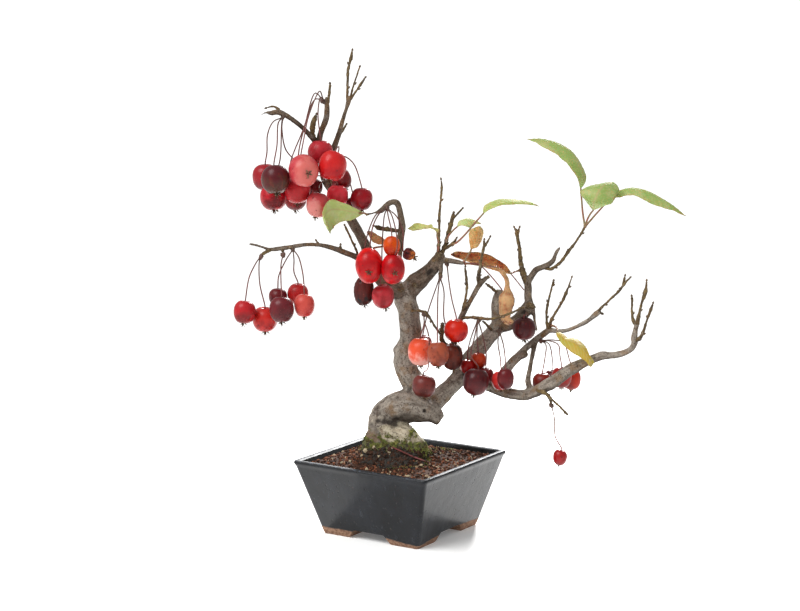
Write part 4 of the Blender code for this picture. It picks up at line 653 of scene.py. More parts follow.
# %% Leaves
LEAVES = {
    "leaf_left": ((367, 214.5, -15), (-1, -0.2, 0.1), [(364.6, 213.3, -16)], [
        ((363.5, 212.6, -16), (363.5, 213.6, -16)), ((352, 206.5, -22), (353, 219.6, -18)),
        ((341, 202, -28), (341, 222.4, -20)), ((330.5, 199.5, -32), (335, 226, -23)),
        ((323.6, 209.5, -35), (333, 229, -27)), ((326, 222.5, -35), (331.4, 231, -31)),
        ((330, 233.5, -34), (330.4, 233.5, -34))]),
    "leaf_crown_left": ((438.6, 252, -5), (-0.5, -1, 0), [(438.4, 243, -10), (437.2, 236, -12)], [
        ((436.8, 233, -12), (437.6, 233, -12)), ((431.6, 224.5, -8), (438.4, 229, -14)),
        ((427.6, 225.4, -8), (428, 227.4, -13)), ((417, 223, -6), (414.5, 229.6, -14)),
        ((407.5, 228.6, -10), (407.7, 229, -10))]),
    "leaf_crown_middle": ((446.5, 243, 0), (-0.2, -1, 0), [(446.5, 239, -6), (452, 231.5, -9)], [
        ((456.6, 226.8, -8), (457.4, 227, -8)), ((460, 222.4, -4), (461, 226, -11)),
        ((465, 220.8, -2), (466, 226.3, -13)), ((470, 220.2, -1), (472, 227.4, -12)),
        ((476, 221.8, -2), (475.6, 224.6, -9)), ((481, 223.4, -5), (481, 223.9, -5))]),
    "leaf_crown_long": ((452, 243.6, -9), (0.4, -1, -0.2), [
        (458, 241.5, -13), (466, 233.5, -14), (474, 224, -14)], [
        ((482.8, 213.6, -13), (483.6, 213.8, -13)), ((484.8, 206, -6), (489, 209.8, -17)),
        ((491.5, 202.4, -2), (497, 206.4, -18)), ((501, 200, 1), (506, 204.8, -16)),
        ((514.5, 200.6, 1), (517, 204.4, -13)), ((527.5, 201.8, 0), (528.5, 204.4, -9)),
        ((539, 206, -5), (539.2, 206.4, -5))]),
    "leaf_ochre": ((464, 262, -12), (0.2, -0.2, 1), [(468, 255, -13), (470.4, 251.6, -13)], [
        ((470.8, 249.4, -13), (471.6, 249.4, -13)), ((468.8, 240, -17), (478.5, 246, -11)),
        ((468.6, 233, -18), (482, 239.5, -9)), ((472, 228.7, -16), (483.6, 231, -9)),
        ((478.6, 226, -13), (480.4, 226.2, -12))]),
    "leaf_dry_long": ((520.8, 270.5, 18), (-1, -0.4, 0), [(516, 271.3, 11), (513, 272.6, 7)], [
        ((511, 272.4, 5), (510.4, 274, 4)), ((505.6, 264.4, 3), (504, 271.6, -1)),
        ((499, 259, 1), (496.5, 268.4, -4)), ((489, 254, 0), (486, 266.2, -4)),
        ((478, 251.2, 0), (475, 262.4, -4)), ((467, 252, -2), (464, 259.6, -4)),
        ((458, 251.6, -4), (456.5, 258, -4)), ((451, 254, -5), (451, 255, -5))]),
    "leaf_dry_hanging": ((464.5, 263.5, -12), (1, -0.2, -0.2), [(472, 264, -9.5), (484, 266, -7.5)], [
        ((497, 266.6, -8), (496.6, 267.8, -8)), ((503.4, 271, -7), (501, 274.5, -9)),
        ((508.6, 280, -6), (505, 281.5, -8)), ((510, 288, -7), (504, 289.5, -7)),
        ((514.8, 298.6, -13), (500.8, 297, -6)), ((513.4, 308.6, -14), (500.8, 307, -6)),
        ((510.4, 316.6, -12), (502.4, 316, -6)), ((513.6, 321.4, -10), (503.4, 321.4, -7)),
        ((508.4, 325.4, -8), (507.6, 325.4, -8))]),
    "leaf_yellow": ((552, 325.5, 8), (0.5, -0.5, 0.3), [(556, 327, 1), (557.6, 330.5, -8)], [
        ((557.6, 332, -10), (556, 333.2, -11)), ((563, 333.5, -14), (557.6, 338, -19)),
        ((567.5, 337.6, -17), (563.4, 345.4, -26)), ((576, 338.6, -20), (571.6, 352.4, -33)),
        ((585, 345.6, -27), (580, 357.4, -37)), ((589.6, 354.8, -35), (585.8, 361.6, -38)),
        ((594, 361.4, -36), (588.6, 365.6, -37)), ((591.4, 367, -37), (590.4, 367, -37))]),
    "leaf_dry_small": ((367, 252, 4), (0.3, -1, 0.2), [(374, 248, -2), (384, 246, -4)], [
        ((387, 241.5, -6), (386, 243.5, -6)), ((381.5, 236.5, -10), (379.5, 245, -5)),
        ((375, 233, -11), (372.5, 242.5, -6)), ((369.5, 231.2, -10), (368.5, 235.5, -8)),
        ((367, 231.4, -8), (366.8, 232.2, -8))]),
}

SHOOT_SEAT = (585, 227, -3)
SHOOT = {
    "left_blade": ([(582.8, 213, 2), (581.6, 199, 4)], [
        ((580.4, 189, 5), (581.2, 189, 5)), ((577, 178.6, 0), (586, 179, 9)),
        ((569.5, 166, -2), (580.4, 166.4, 14)),
        ((559, 156.6, 0), (571.5, 153.6, 18)), ((547.5, 149.2, 4), (558.6, 146, 20)),
        ((537, 143.6, 9), (545, 141.2, 19)), ((527, 139, 15), (527.4, 139.3, 15))]),
    "front_blade": ([(587.6, 219, -6), (591, 213, -9)], [
        ((592.8, 210.2, -10), (593.6, 210.4, -10)), ((584.4, 199.6, -14), (603.6, 206, -15)),
        ((580, 191.4, -15), (612.4, 203, -18)), ((588, 186.8, -10), (617.2, 194.4, -15)),
        ((602, 184, -3), (619, 188, -9)), ((613, 182.4, 1), (614, 182.6, 0))]),
    "right_blade": ([(590, 221, -1), (597, 213, 2)], [
        ((603, 206, 4), (603.6, 206.4, 4)), ((612, 194.6, 7), (612, 200, 1)),
        ((618, 191.8, 9), (617, 197.6, -1)),
        ((632, 190.2, 10), (633, 195.6, -4)), ((646, 192.6, 9), (644.5, 200.2, -7)),
        ((660, 199.2, 6), (658, 206.4, -8)), ((672, 206.6, 2), (670.5, 209.6, -7)),
        ((686, 216, -4), (686, 216.4, -4))]),
}
print("leaves:", len(LEAVES))

# %% [markdown]
# Old wood first. On the tree the trunk, its roots and the thick limbs flow into each other without a
# seam, as the bark has grown over every fork. Sweeping a round bar along each limb gives the right
# thickness but leaves a crease at each fork, so the bars are melted into one skin by a voxel remesh, as a
# sculptor would press sausages of clay together, and the skin is smoothed.

# %% Old wood
OLD_WOOD = (
    "root_crown front_root left_root back_root lower_trunk trunk second_trunk left_limb crown_limb "
    "second_stub knob_limb right_limb upper_limb cut_stub trunk_stub cross_limb middle_limb "
    "lower_branch fruit_spur fork_trunk fork_right top_right top_centre top_left fork_left knob_spur "
    "middle_twig crown_arm crown_pendant"
).split()
SKIN_GRID = 0.68 * MM


def wood_route(name, spacing):
    """Points and radius along a limb, as rows of four numbers, spacing metres apart."""
    rows = [(*seen(across, down, depth), max(wide, 0.5) * STEP) for across, down, depth, wide in WOOD[name]]
    rows = np.array(rows)
    length = np.linalg.norm(np.diff(rows[:, :3], axis=0), axis=1).sum()
    return curve_through(rows, max(2 * (len(rows) - 1), int(length / spacing)))


def knobbly(path, radii, sides, amount, seed):
    """A radius for each side of each ring, with lumps that follow the limb."""
    _, ones, others = sweep_frames(path)
    angles = np.linspace(0, 2 * math.pi, sides, endpoint=False)
    ways = ones[:, None] * np.cos(angles)[None, :, None] + others[:, None] * np.sin(angles)[None, :, None]
    at = path[:, None] + ways * radii[:, None, None]
    lumps = fractal(at.reshape(-1, 3) + seed, 9 * MM, 2).reshape(len(path), sides)
    return radii[:, None] * (1 + amount * lumps)


bars = Bag()
for seed, name in enumerate(OLD_WOOD):
    rows = wood_route(name, 1.2 * MM)
    path, radii = rows[:, :3], np.maximum(rows[:, 3], 0.4 * MM)
    radii[-1] *= 0.72
    bars.add(*tube(path, knobbly(path, radii, 20, 0.13, seed), 20))
old_wood = bars.build("old_wood", [])
melt = old_wood.modifiers.new("melt", "REMESH")
melt.mode = "VOXEL"
melt.voxel_size = SKIN_GRID
relax = old_wood.modifiers.new("relax", "SMOOTH")
relax.factor = 0.5
relax.iterations = 4
bpy.context.view_layer.update()
melted = bpy.data.meshes.new_from_object(old_wood.evaluated_get(bpy.context.evaluated_depsgraph_get()))
old_wood.modifiers.clear()
old_wood.data = melted
print("old wood:", len(melted.vertices), "points")

# %% [markdown]
# Bark has a direction: plates and cracks run along a limb, and breathing pores lie across it. Each point of
# the skin therefore remembers its nearest limb and its place on it. That gives a coordinate along and
# round the limb for the relief here, and for the colour later.

# %% Bark relief
LIGHT_BARK = {"root_crown": 1.0, "front_root": 1.4, "left_root": 0.55, "back_root": 0.5, "lower_trunk": 0.72,
              "trunk": 0.8, "second_trunk": 0.8, "right_limb": 0.6, "left_limb": 0.15, "crown_limb": 0.12,
              "second_stub": 0.75, "knob_limb": 0.3, "upper_limb": 0.75, "fork_trunk": 0.3, "fruit_spur": 0.0,
              "top_left": 0.1, "top_right": 0.0, "top_centre": 0.1, "lower_branch": 0.2, "middle_limb": 0.2}
# Places on the skin (across, down, depth), how wide in millimetres, and how far they stand out (or in).
BARK_MARKS = [
    ((430, 272, -8), 4.2, -1.1), ((426, 268, -8), 2.0, 0.7), ((434, 276, -8), 2.0, 0.7),
    ((394, 349, 4), 3.2, 1.4), ((425, 411, -12), 1.6, -1.6), ((437, 254.5, -8), 3.4, 1.0),
    ((433, 257, -7), 1.8, -0.8), ((409, 389, -6), 3.0, -1.2), ((441, 414, -6), 2.6, 1.1),
    ((444, 421, -6), 2.2, -0.9), ((436, 426, -6), 2.4, 0.8), ((404, 430, -16), 5.0, 0.9),
    ((378, 421, -9), 2.2, -0.9), ((384, 421.5, -10), 2.2, -1.3), ((390, 421.5, -11), 2.2, -1.5),
    ((396, 422, -11), 2.6, -2.0), ((402, 423, -12), 2.8, -2.2), ((406, 426, -12), 2.2, -1.6),
    ((372, 424, -7), 2.0, -0.6), ((372, 411, -4), 3.0, 0.8), ((380, 400, -6), 3.0, 0.7),
    ((433, 405, -10), 2.4, 0.8), ((529, 305, 8), 3.6, 0.9), ((524, 312, 8), 2.4, -0.7),
    ((465, 376, 8), 3.2, -0.8), ((523, 394, -12), 3.0, 0.6), ((560, 377, -22), 3.4, 0.7),
    ((571, 368, -23), 2.4, 0.7), ((433, 250, -9), 1.3, 1.4), ((441, 251, -9), 1.2, 1.3),
    ((436, 257, -11), 1.2, -1.0), ((444, 258, -9), 1.3, 1.0), ((404, 288, -14), 2.0, -1.2),
    ((411, 284, -15), 1.8, 1.0), ((397, 293, -14), 1.8, 0.9), ((415, 291, -14), 1.6, -0.8),
    ((538, 304, 6), 1.5, 1.1), ((522, 303, 6), 1.4, 1.0), ((534, 312, 6), 1.5, -0.9),
    ((487, 277, -8), 1.2, 0.8),
]
tables = []
for i, name in enumerate(OLD_WOOD):
    rows = wood_route(name, 1.5 * MM)
    _, ones, others = sweep_frames(rows[:, :3])
    steps = np.concatenate([[0], np.linalg.norm(np.diff(rows[:, :3], axis=0), axis=1).cumsum()])
    paleness = np.full(len(rows), LIGHT_BARK.get(name, 0.3))
    tables.append(np.column_stack([rows, steps + 0.37 * i, ones, others, paleness]))
table = np.vstack(tables)
finder = KDTree(len(table))
for i, row in enumerate(table):
    finder.insert(row[:3], i)
finder.balance()
skin = np.empty(len(melted.vertices) * 3)
melted.vertices.foreach_get("co", skin)
skin = skin.reshape(-1, 3)
normals = np.empty(len(skin) * 3)
melted.vertex_normals.foreach_get("vector", normals)
normals = normals.reshape(-1, 3)
nearest = np.empty(len(skin), int)
for k, p in enumerate(skin):
    found = finder.find_n(p, 6)
    nearest[k] = min(found, key=lambda hit: hit[2] - table[hit[1], 3])[1]
row = table[nearest]
off = skin - row[:, :3]
grain = np.column_stack([row[:, 4], (off * row[:, 5:8]).sum(1), (off * row[:, 8:11]).sum(1)])
radius = row[:, 3]
age = np.clip((radius - 1.2 * MM) / (6 * MM), 0, 1)
plates = fractal(grain * (0.32, 1, 1), 5 * MM, 4)
pores = fractal(grain * (2.4, 0.5, 0.5) + 3, 3.4 * MM, 3)
crust = fractal(skin + 0.5, 1.9 * MM, 2)
swells = fractal(skin + 0.2, 16 * MM, 2)
rough = 0.45 + 0.75 * np.clip(fractal(skin + 0.7, 24 * MM, 2) + 0.35, 0, 1)
craggy = 0.25 + 0.75 * age
lift = (0.38 * plates + 0.16 * pores) * rough * craggy + 0.12 * crust * rough + 0.5 * swells * age
lift *= MM
for place, wide, push in BARK_MARKS:
    reach = np.linalg.norm(skin - np.array(seen(*place)), axis=1) / (wide * MM)
    lift += push * MM * np.exp(-(reach**2) * 1.6)
skin = skin + normals * lift[:, None]
skin[:, 2] = np.maximum(skin[:, 2], POT_HEIGHT - 22 * MM)
melted.vertices.foreach_set("co", skin.ravel())
MOSS_TOP = seen(395, 440, -14).z
damp = np.clip((MOSS_TOP - skin[:, 2]) / (3 * MM) + 0.8 * fractal(skin, 5 * MM, 2), 0, 1)
# Painted shade: bark that faces down, away from the sun, is darkened in the colour.
underside_shade = np.clip(-normals[:, 2], 0, 1)
for value_name, rows in (("light", row[:, 11]), ("dent", lift / MM), ("under", underside_shade), ("damp", damp)):
    melted.attributes.new(value_name, "FLOAT", "POINT").data.foreach_set("value", rows.astype(np.float32))
limb_place = melted.attributes.new("grain", "FLOAT_VECTOR", "POINT")
limb_place.data.foreach_set("vector", grain.astype(np.float32).ravel())
melted.polygons.foreach_set("use_smooth", [True] * len(melted.polygons))
melted.update()
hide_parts("wood")
print("bark lift from", round(lift.min() / MM, 2), "to", round(lift.max() / MM, 2), "mm")

# %% [markdown]
# Young twigs are too thin for the voxel skin. They are swept as fine bars of their own, thicker at each
# growth ring and leaf scar, with small pointed buds that lie against the bark, left and right in turn.

# %% Twigs
dice = np.random.default_rng(7)
twigs = Bag()
old_points = KDTree(len(skin))
for i, point in enumerate(skin):
    old_points.insert(point, i)
old_points.balance()


def bud(foot, way, length, wide):
    """A pointed bud from its foot along a way."""
    rise = np.linspace(0, 1, 6)
    path = np.array(foot) + np.outer(rise * length, way)
    radii = wide * np.array([0.55, 0.95, 1.0, 0.8, 0.45, 0.08])
    points, faces = tube(path, radii, 7)
    twigs.add(points, faces, grain=points, light=0.0, dent=0.3, under=0.0, damp=0.0)


for i, name in enumerate(sorted(set(WOOD) - set(OLD_WOOD) | {"fork_left", "middle_twig"})):
    rows = wood_route(name, 0.7 * MM)
    path, radii = rows[:, :3], np.maximum(rows[:, 3], 0.42 * MM)
    steps = np.concatenate([[0], np.linalg.norm(np.diff(path, axis=0), axis=1).cumsum()])
    wobble = fractal(path + i, 2.6 * MM, 2)
    path = path + sweep_frames(path)[1] * (wobble * 0.22 * MM)[:, None]
    rings = np.zeros(len(path))
    for at in np.arange(3 * MM + dice.random() * 3 * MM, steps[-1], 5.5 * MM):
        rings += np.exp(-(((steps - at - dice.random() * 2 * MM) / (0.7 * MM)) ** 2))
    radii = radii * (1 + 0.26 * np.minimum(rings, 1)) * (1 + 0.1 * fractal(path - i, 1.8 * MM, 2))
    radii[-1] *= 0.55
    bumpy = knobbly(path, radii, 10, 0.12, i)
    points, faces = tube(path, bumpy, 10)
    angles = np.tile(np.linspace(0, 2 * math.pi, 10, endpoint=False), len(path))
    thick = np.repeat(radii, 10)
    grain = np.column_stack([np.repeat(steps, 10) + i, np.cos(angles) * thick, np.sin(angles) * thick])
    # Painted shade: the low side of each twig is darkened in the bark colour.
    underside_shade = np.clip((np.repeat(path[:, 2], 10) - points[:, 2]) / thick, 0, 1)
    dents = np.repeat(rings - 0.3, 10)
    twigs.add(points, faces, grain=grain, light=-0.25, dent=dents, under=underside_shade, damp=0.0)
    headings = sweep_frames(path)[0]
    if steps[-1] > 12 * MM:
        side = 1
        for at in np.arange(8 * MM, steps[-1] - 3 * MM, 11 * MM + 4 * MM * dice.random()):
            k = int(np.searchsorted(steps, at))
            out = facing(side, -0.5, 0.2)
            out = np.array(out) - headings[k] * np.dot(np.array(out), headings[k])
            out /= np.linalg.norm(out)
            way = headings[k] * 0.8 + out * 0.6
            bud(path[k] + out * radii[k] * 0.5, way / np.linalg.norm(way), 2.3 * MM, 0.75 * MM)
            side = -side
    bud(path[-1], headings[-1], 2.0 * MM, max(0.75 * MM, radii[-1] * 1.5))
# Fruiting spurs end in gnarled knots of old bud scars (place, radius in millimetres).
SPUR_KNOTS = [
    ((432, 252, -10), 1.7), ((441, 250, -10), 1.5), ((437, 256, -14), 1.8), ((429, 257, -12), 1.3),
    ((446, 262, -10), 1.4), ((464, 308, -14), 1.5), ((439, 275, -14), 1.2), ((536, 303, 2), 2.2),
    ((525, 302, 2), 1.9), ((539, 309, 4), 1.7), ((489, 276, -8), 1.1), ((410, 286, -20), 1.8),
    ((401, 290, -20), 1.7), ((541, 340, 2), 1.4), ((327, 96, 0), 1.3),
]
for place, wide in SPUR_KNOTS:
    heart = np.array(old_points.find(seen(*place))[0])
    for _ in range(6):
        way = dice.normal(0, 1, 3)
        way /= np.linalg.norm(way)
        path = heart + np.outer(np.array([-0.2, 0.4, 0.9, 1.2]) * wide * MM, way)
        points, faces = tube(path, np.array([0.75, 0.7, 0.55, 0.2]) * wide * MM, 8)
        points = points + 0.12 * wide * MM * fractal(points, 0.9 * MM, 2)[:, None]
        twigs.add(points, faces, grain=points, light=-0.1, dent=0.2, under=0.0, damp=0.0)
twig_piece = twigs.build("twigs", [])
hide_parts("wood")
print("twigs:", len(twig_piece.data.polygons), "faces")

# %% [markdown]
# Bark colour. The trunk is grey-beige, speckled with pores, with ochre and grey patches, and palest on the
# root in front; the upper limbs are darker; the young twigs are olive brown. Shade is painted in as well:
# the hollows of the relief that was pushed in above, and the undersides of limbs and twigs, are darkened.

# %% Bark
bark, tree, shader = new_finish("grey_bark", Specular_IOR_Level=0.3)
place = add_node(tree, "ShaderNodeTexCoord", out="Object")
along = add_node(tree, "ShaderNodeAttribute", out="Vector", attribute_name="grain")
light = add_node(tree, "ShaderNodeAttribute", out="Fac", attribute_name="light")
dent = add_node(tree, "ShaderNodeAttribute", out="Fac", attribute_name="dent")
under = add_node(tree, "ShaderNodeAttribute", out="Fac", attribute_name="under")
damp = add_node(tree, "ShaderNodeAttribute", out="Fac", attribute_name="damp")
fine = {"Vector": place, "Scale": 1 / (0.9 * MM), "Detail": 3.0, "Roughness": 0.6}
speckle = add_node(tree, "ShaderNodeTexNoise", fine)
# Cracks run along the limb, pores across it, so the limb's own coordinate is squeezed or stretched.
lengthwise = add_node(tree, "ShaderNodeMapping", {"Vector": along, "Scale": (0.35, 1, 1)})
long = {"Vector": lengthwise, "Scale": 1 / (2.6 * MM), "Detail": 4.0, "Roughness": 0.62}
streaks = add_node(tree, "ShaderNodeTexNoise", long)
crosswise = add_node(tree, "ShaderNodeMapping", {"Vector": along, "Scale": (2.6, 0.8, 0.8)})
pores = add_node(tree, "ShaderNodeTexNoise", {"Vector": crosswise, "Scale": 1 / (1.8 * MM), "Detail": 2.0})
young = faded(tree, linear("#4a3b28"), linear("#78643f"), streaks, 0.3, 0.7)
dark = faded(tree, linear("#463829"), linear("#77685a"), streaks, 0.3, 0.7)
pale = faded(tree, linear("#6f655b"), linear("#a0978b"), streaks, 0.3, 0.7)
cream = faded(tree, linear("#9a8e78"), linear("#c6bca4"), streaks, 0.3, 0.7)
colour = faded(tree, young, dark, light, -0.2, 0.05)
colour = faded(tree, colour, pale, light, 0.05, 0.85)
colour = faded(tree, colour, cream, light, 0.9, 1.3)
colour = stained(tree, colour, linear("#7a5c3a"), place, 10 * MM, 0.5, 0.64, 0.6)
colour = stained(tree, colour, linear("#908a80"), place, 6 * MM, 0.58, 0.72, 0.5)
colour = stained(tree, colour, linear("#3c3026"), place, 4 * MM, 0.56, 0.68, 0.6)
colour = faded(tree, colour, linear("#2c2018"), speckle, 0.54, 0.66, 0.8)
colour = faded(tree, colour, linear("#b0a28c"), pores, 0.64, 0.74, 0.35)
# Painted shade: where the relief was pushed in, the colour is darkened.
colour = faded(tree, colour, linear("#1c140e"), dent, -0.05, -0.8, 0.9)
# Painted shade: the undersides of limbs and twigs are darkened in the colour.
colour = faded(tree, colour, linear("#2a2018"), under, 0.2, 0.8, 0.8)
algae = stained(tree, linear("#2e2619"), linear("#5c6030"), place, 2.2 * MM, 0.42, 0.58)
colour = faded(tree, colour, algae, damp, 0.2, 0.8, 0.9)
tree.links.new(colour, shader.inputs["Base Color"])
rough_value = add_node(tree, "ShaderNodeMapRange", {0: speckle, 1: 0.3, 2: 0.7, 3: 0.66, 4: 0.86})
tree.links.new(rough_value, shader.inputs["Roughness"])
relief = add_node(tree, "ShaderNodeBump", {"Height": streaks, "Distance": 0.7 * MM, "Strength": 0.7})
for pattern, depth, strength in ((pores, 0.3 * MM, 0.5), (speckle, 0.25 * MM, 0.7)):
    dents = {"Height": pattern, "Distance": depth, "Strength": strength, "Normal": relief}
    relief = add_node(tree, "ShaderNodeBump", dents)
tree.links.new(relief, shader.inputs["Normal"])
for piece in (old_wood, twig_piece):
    piece.data.materials.clear()
    piece.data.materials.append(bark)
print("bark:", len(tree.nodes), "nodes")


# %% [markdown]
# Now the apples. A crabapple is nearly a ball, plumper than an ellipse, with a dimple where the stalk
# enters and a shallow basin round the dried calyx. It is turned like clay on a wheel: one curve from
# stalk to calyx, spun round, then pushed a little out of round, since no fruit is perfect. The old ones
# have lost water, so their skin is pulled into wrinkles.

# %% Apple shape
# For each apple: the colour of its skin, the colour that flushes over it, and how withered it is.
LOOKS = {
    "apples_top_left": [("#8e2026", "#64141c", 0.0), ("#4a1218", "#45281c", 0.05),
                        ("#a4222a", "#5a1014", 0.0), ("#8c1c20", "#6a1418", 0.0)],
    "apples_top": [("#ae3a42", "#c0645e", 0.0), ("#b83036", "#962426", 0.0), ("#a62c34", "#8c1c22", 0.0),
                   ("#8a1a1c", "#5c1214", 0.05)],
    "apples_top_middle": [("#b8484c", "#c47a74", 0.0), ("#e04650", "#b43038", 0.0),
                          ("#5a1014", "#420c10", 0.0)],
    "apples_top_right": [("#b42a2a", "#9a1a20", 0.0), ("#7c181c", "#561014", 0.0),
                         ("#86101a", "#640c14", 0.0), ("#54101a", "#40090f", 0.05)],
    "apples_left_tip": [("#a2262a", "#6c1a1c", 0.0), ("#b2302c", "#8c2020", 0.0)],
    "apples_left_middle": [("#5c1c22", "#481519", 0.05)],
    "apples_left_inner": [("#5c1519", "#45101a", 0.05), ("#9c2626", "#741a1a", 0.0),
                          ("#b44a42", "#9c2c2a", 0.0)],
    "apples_centre": [("#cc2a2a", "#98181c", 0.0), ("#b8481f", "#9c2a18", 0.0),
                      ("#be2428", "#8c161a", 0.0), ("#4c1c18", "#2e100e", 1.0),
                      ("#a8343a", "#7c1a1e", 0.05), ("#551a1a", "#b0602c", 0.9)],
    "apples_crown": [("#8c1c1c", "#641214", 0.0), ("#8e4632", "#6c3024", 0.35),
                     ("#562014", "#3a120c", 0.8)],
    "apple_crown_arm": [("#b4281e", "#8c1416", 0.0)],
    "apples_trunk_twig": [("#cc5038", "#dda498", 0.0), ("#602824", "#431814", 0.3)],
    "apples_inner": [("#3c1014", "#50181a", 0.05), ("#5c1418", "#420e12", 0.0),
                     ("#b03c22", "#8c2018", 0.0), ("#941c1c", "#6a1214", 0.0)],
    "apples_fork": [("#ac3230", "#7c2224", 0.0), ("#541418", "#3c0e12", 0.05)],
    "apple_knob": [("#3c0e12", "#4c1214", 0.05)],
    "apples_lower_right": [("#6e2019", "#4a1512", 0.05), ("#5a1818", "#42100f", 0.05),
                           ("#8a2422", "#641816", 0.0), ("#a02c1e", "#701c16", 0.0)],
    "apple_pendant": [("#8a1f20", "#601616", 0.05)],
}
AROUND, DOWNWARD = 30, 24


def leaning(right, away):
    """The turn of an apple whose calyx end swings right and away from straight down."""
    down = facing(right, away, -1).normalized()
    return np.array(Vector((0, 0, -1)).rotation_difference(down).to_matrix())


def apple(withered, seed):
    """Points and faces of one apple of radius 1, stalk end up, the height of each point and its folds."""
    fall = np.linspace(0.03, math.pi - 0.03, DOWNWARD + 1)
    plump = 0.9
    radius = np.sin(fall) ** plump
    height = np.sign(np.cos(fall)) * np.abs(np.cos(fall)) ** plump
    height -= 0.24 * np.exp(-((radius / 0.24) ** 2)) * (height > 0)
    height += 0.13 * np.exp(-((radius / 0.3) ** 2)) * (height < 0)
    radius *= 1 + 0.04 * height
    angles = np.linspace(0, 2 * math.pi, AROUND, endpoint=False)
    lobes = 1 + 0.014 * np.cos(5 * angles + seed) * (height[:, None] < 0.2)
    unit = np.stack([radius[:, None] * lobes * np.cos(angles), radius[:, None] * lobes * np.sin(angles),
                     np.broadcast_to(height[:, None], (len(fall), AROUND))], axis=-1).reshape(-1, 3)
    swell = 1 + 0.045 * fractal(unit + seed, 1.7, 2) + 0.008 * fractal(unit + seed, 0.5, 2)
    folds = fractal(unit * (1, 1, 0.35) + seed, 0.34, 3)
    swell -= withered * (0.09 * np.abs(folds) ** 0.8 + 0.05 * (fractal(unit + seed, 0.9, 2) > 0.1))
    return unit * swell[:, None], ring_faces(DOWNWARD + 1, AROUND), unit[:, 2], folds


print("looks for", sum(len(looks) for looks in LOOKS.values()), "apples")

# %% [markdown]
# Each apple hangs on a thin bent stalk that swells where it meets the spur and again in the apple's
# dimple. At the other end the five dried sepals of the flower curl out of the basin round a tuft of
# stamen threads.

# %% Stalks and calyxes
STALK_RADIUS = 0.43 * MM
KNOB_RADII = np.array([1.0, 1.25, 1.15, 1.3, 1.1, 0.9, 0.4]) * MM
wood_points = [v.co.copy() for v in old_wood.data.vertices] + [v.co.copy() for v in twig_piece.data.vertices]
shift = len(old_wood.data.vertices)
wood_faces = [list(p.vertices) for p in old_wood.data.polygons]
wood_faces += [[i + shift for i in p.vertices] for p in twig_piece.data.polygons]
wood_surface = BVHTree.FromPolygons(wood_points, wood_faces)


def seat_on(place, way, clear):
    """The point off the bark by clear, on a line that leaves the wood from the place, along way."""
    seat = seen(*place)
    out = facing(*way).normalized()
    for _ in range(200):
        near, normal, _, gap = wood_surface.find_nearest(seat)
        if gap >= clear and (seat - near).dot(normal) > 0:
            break
        seat = seat + out * 0.08 * MM
    return seat, out


def add_calyx(bag, foot, turn, wide, dice):
    """Five curled sepals and a tuft of threads at an apple's calyx end; turn is the apple's lean."""
    for k in range(5):
        angle = 2 * math.pi * (k + 0.3 * dice.random()) / 5
        length = wide * (0.34 + 0.16 * dice.random())
        rise = np.linspace(0, 1, 7)
        curl = rise**1.6 * (0.5 + 0.7 * dice.random())
        out = wide * 0.12 + length * np.sin(curl)
        down = -length * 0.9 * rise * np.cos(curl * 0.8)
        breadth = wide * 0.105 * (1 - rise**2) + 0.05 * MM
        spine = np.column_stack([out * math.cos(angle), out * math.sin(angle), down])
        across = np.array([-math.sin(angle), math.cos(angle), 0])
        inward = np.array([-math.cos(angle), -math.sin(angle), 0])
        rows = [
            np.stack([p - across * b, p + inward * b * 0.4, p + across * b, p - inward * 0.16 * MM])
            for p, b in zip(spine, breadth)
        ]
        bag.add(foot + np.vstack(rows) @ turn.T, ring_faces(7, 4), 1, tint=0.6 + 0.4 * dice.random())
    for _ in range(9):
        angle = 2 * math.pi * dice.random()
        reach = wide * (0.3 + 0.2 * dice.random())
        spread = 0.15 + 0.3 * dice.random()
        halfway = (spread * 0.45 * math.cos(angle), spread * 0.45 * math.sin(angle), -0.5)
        tip = (spread * math.cos(angle), spread * math.sin(angle), -1.0)
        path = np.array([(0, 0, 0.1), halfway, tip]) * reach
        points, faces = tube(curve_through(path, 4), 0.11 * MM, 4)
        bag.add(foot + points @ turn.T, faces, 1, tint=0.3 + 0.6 * dice.random())


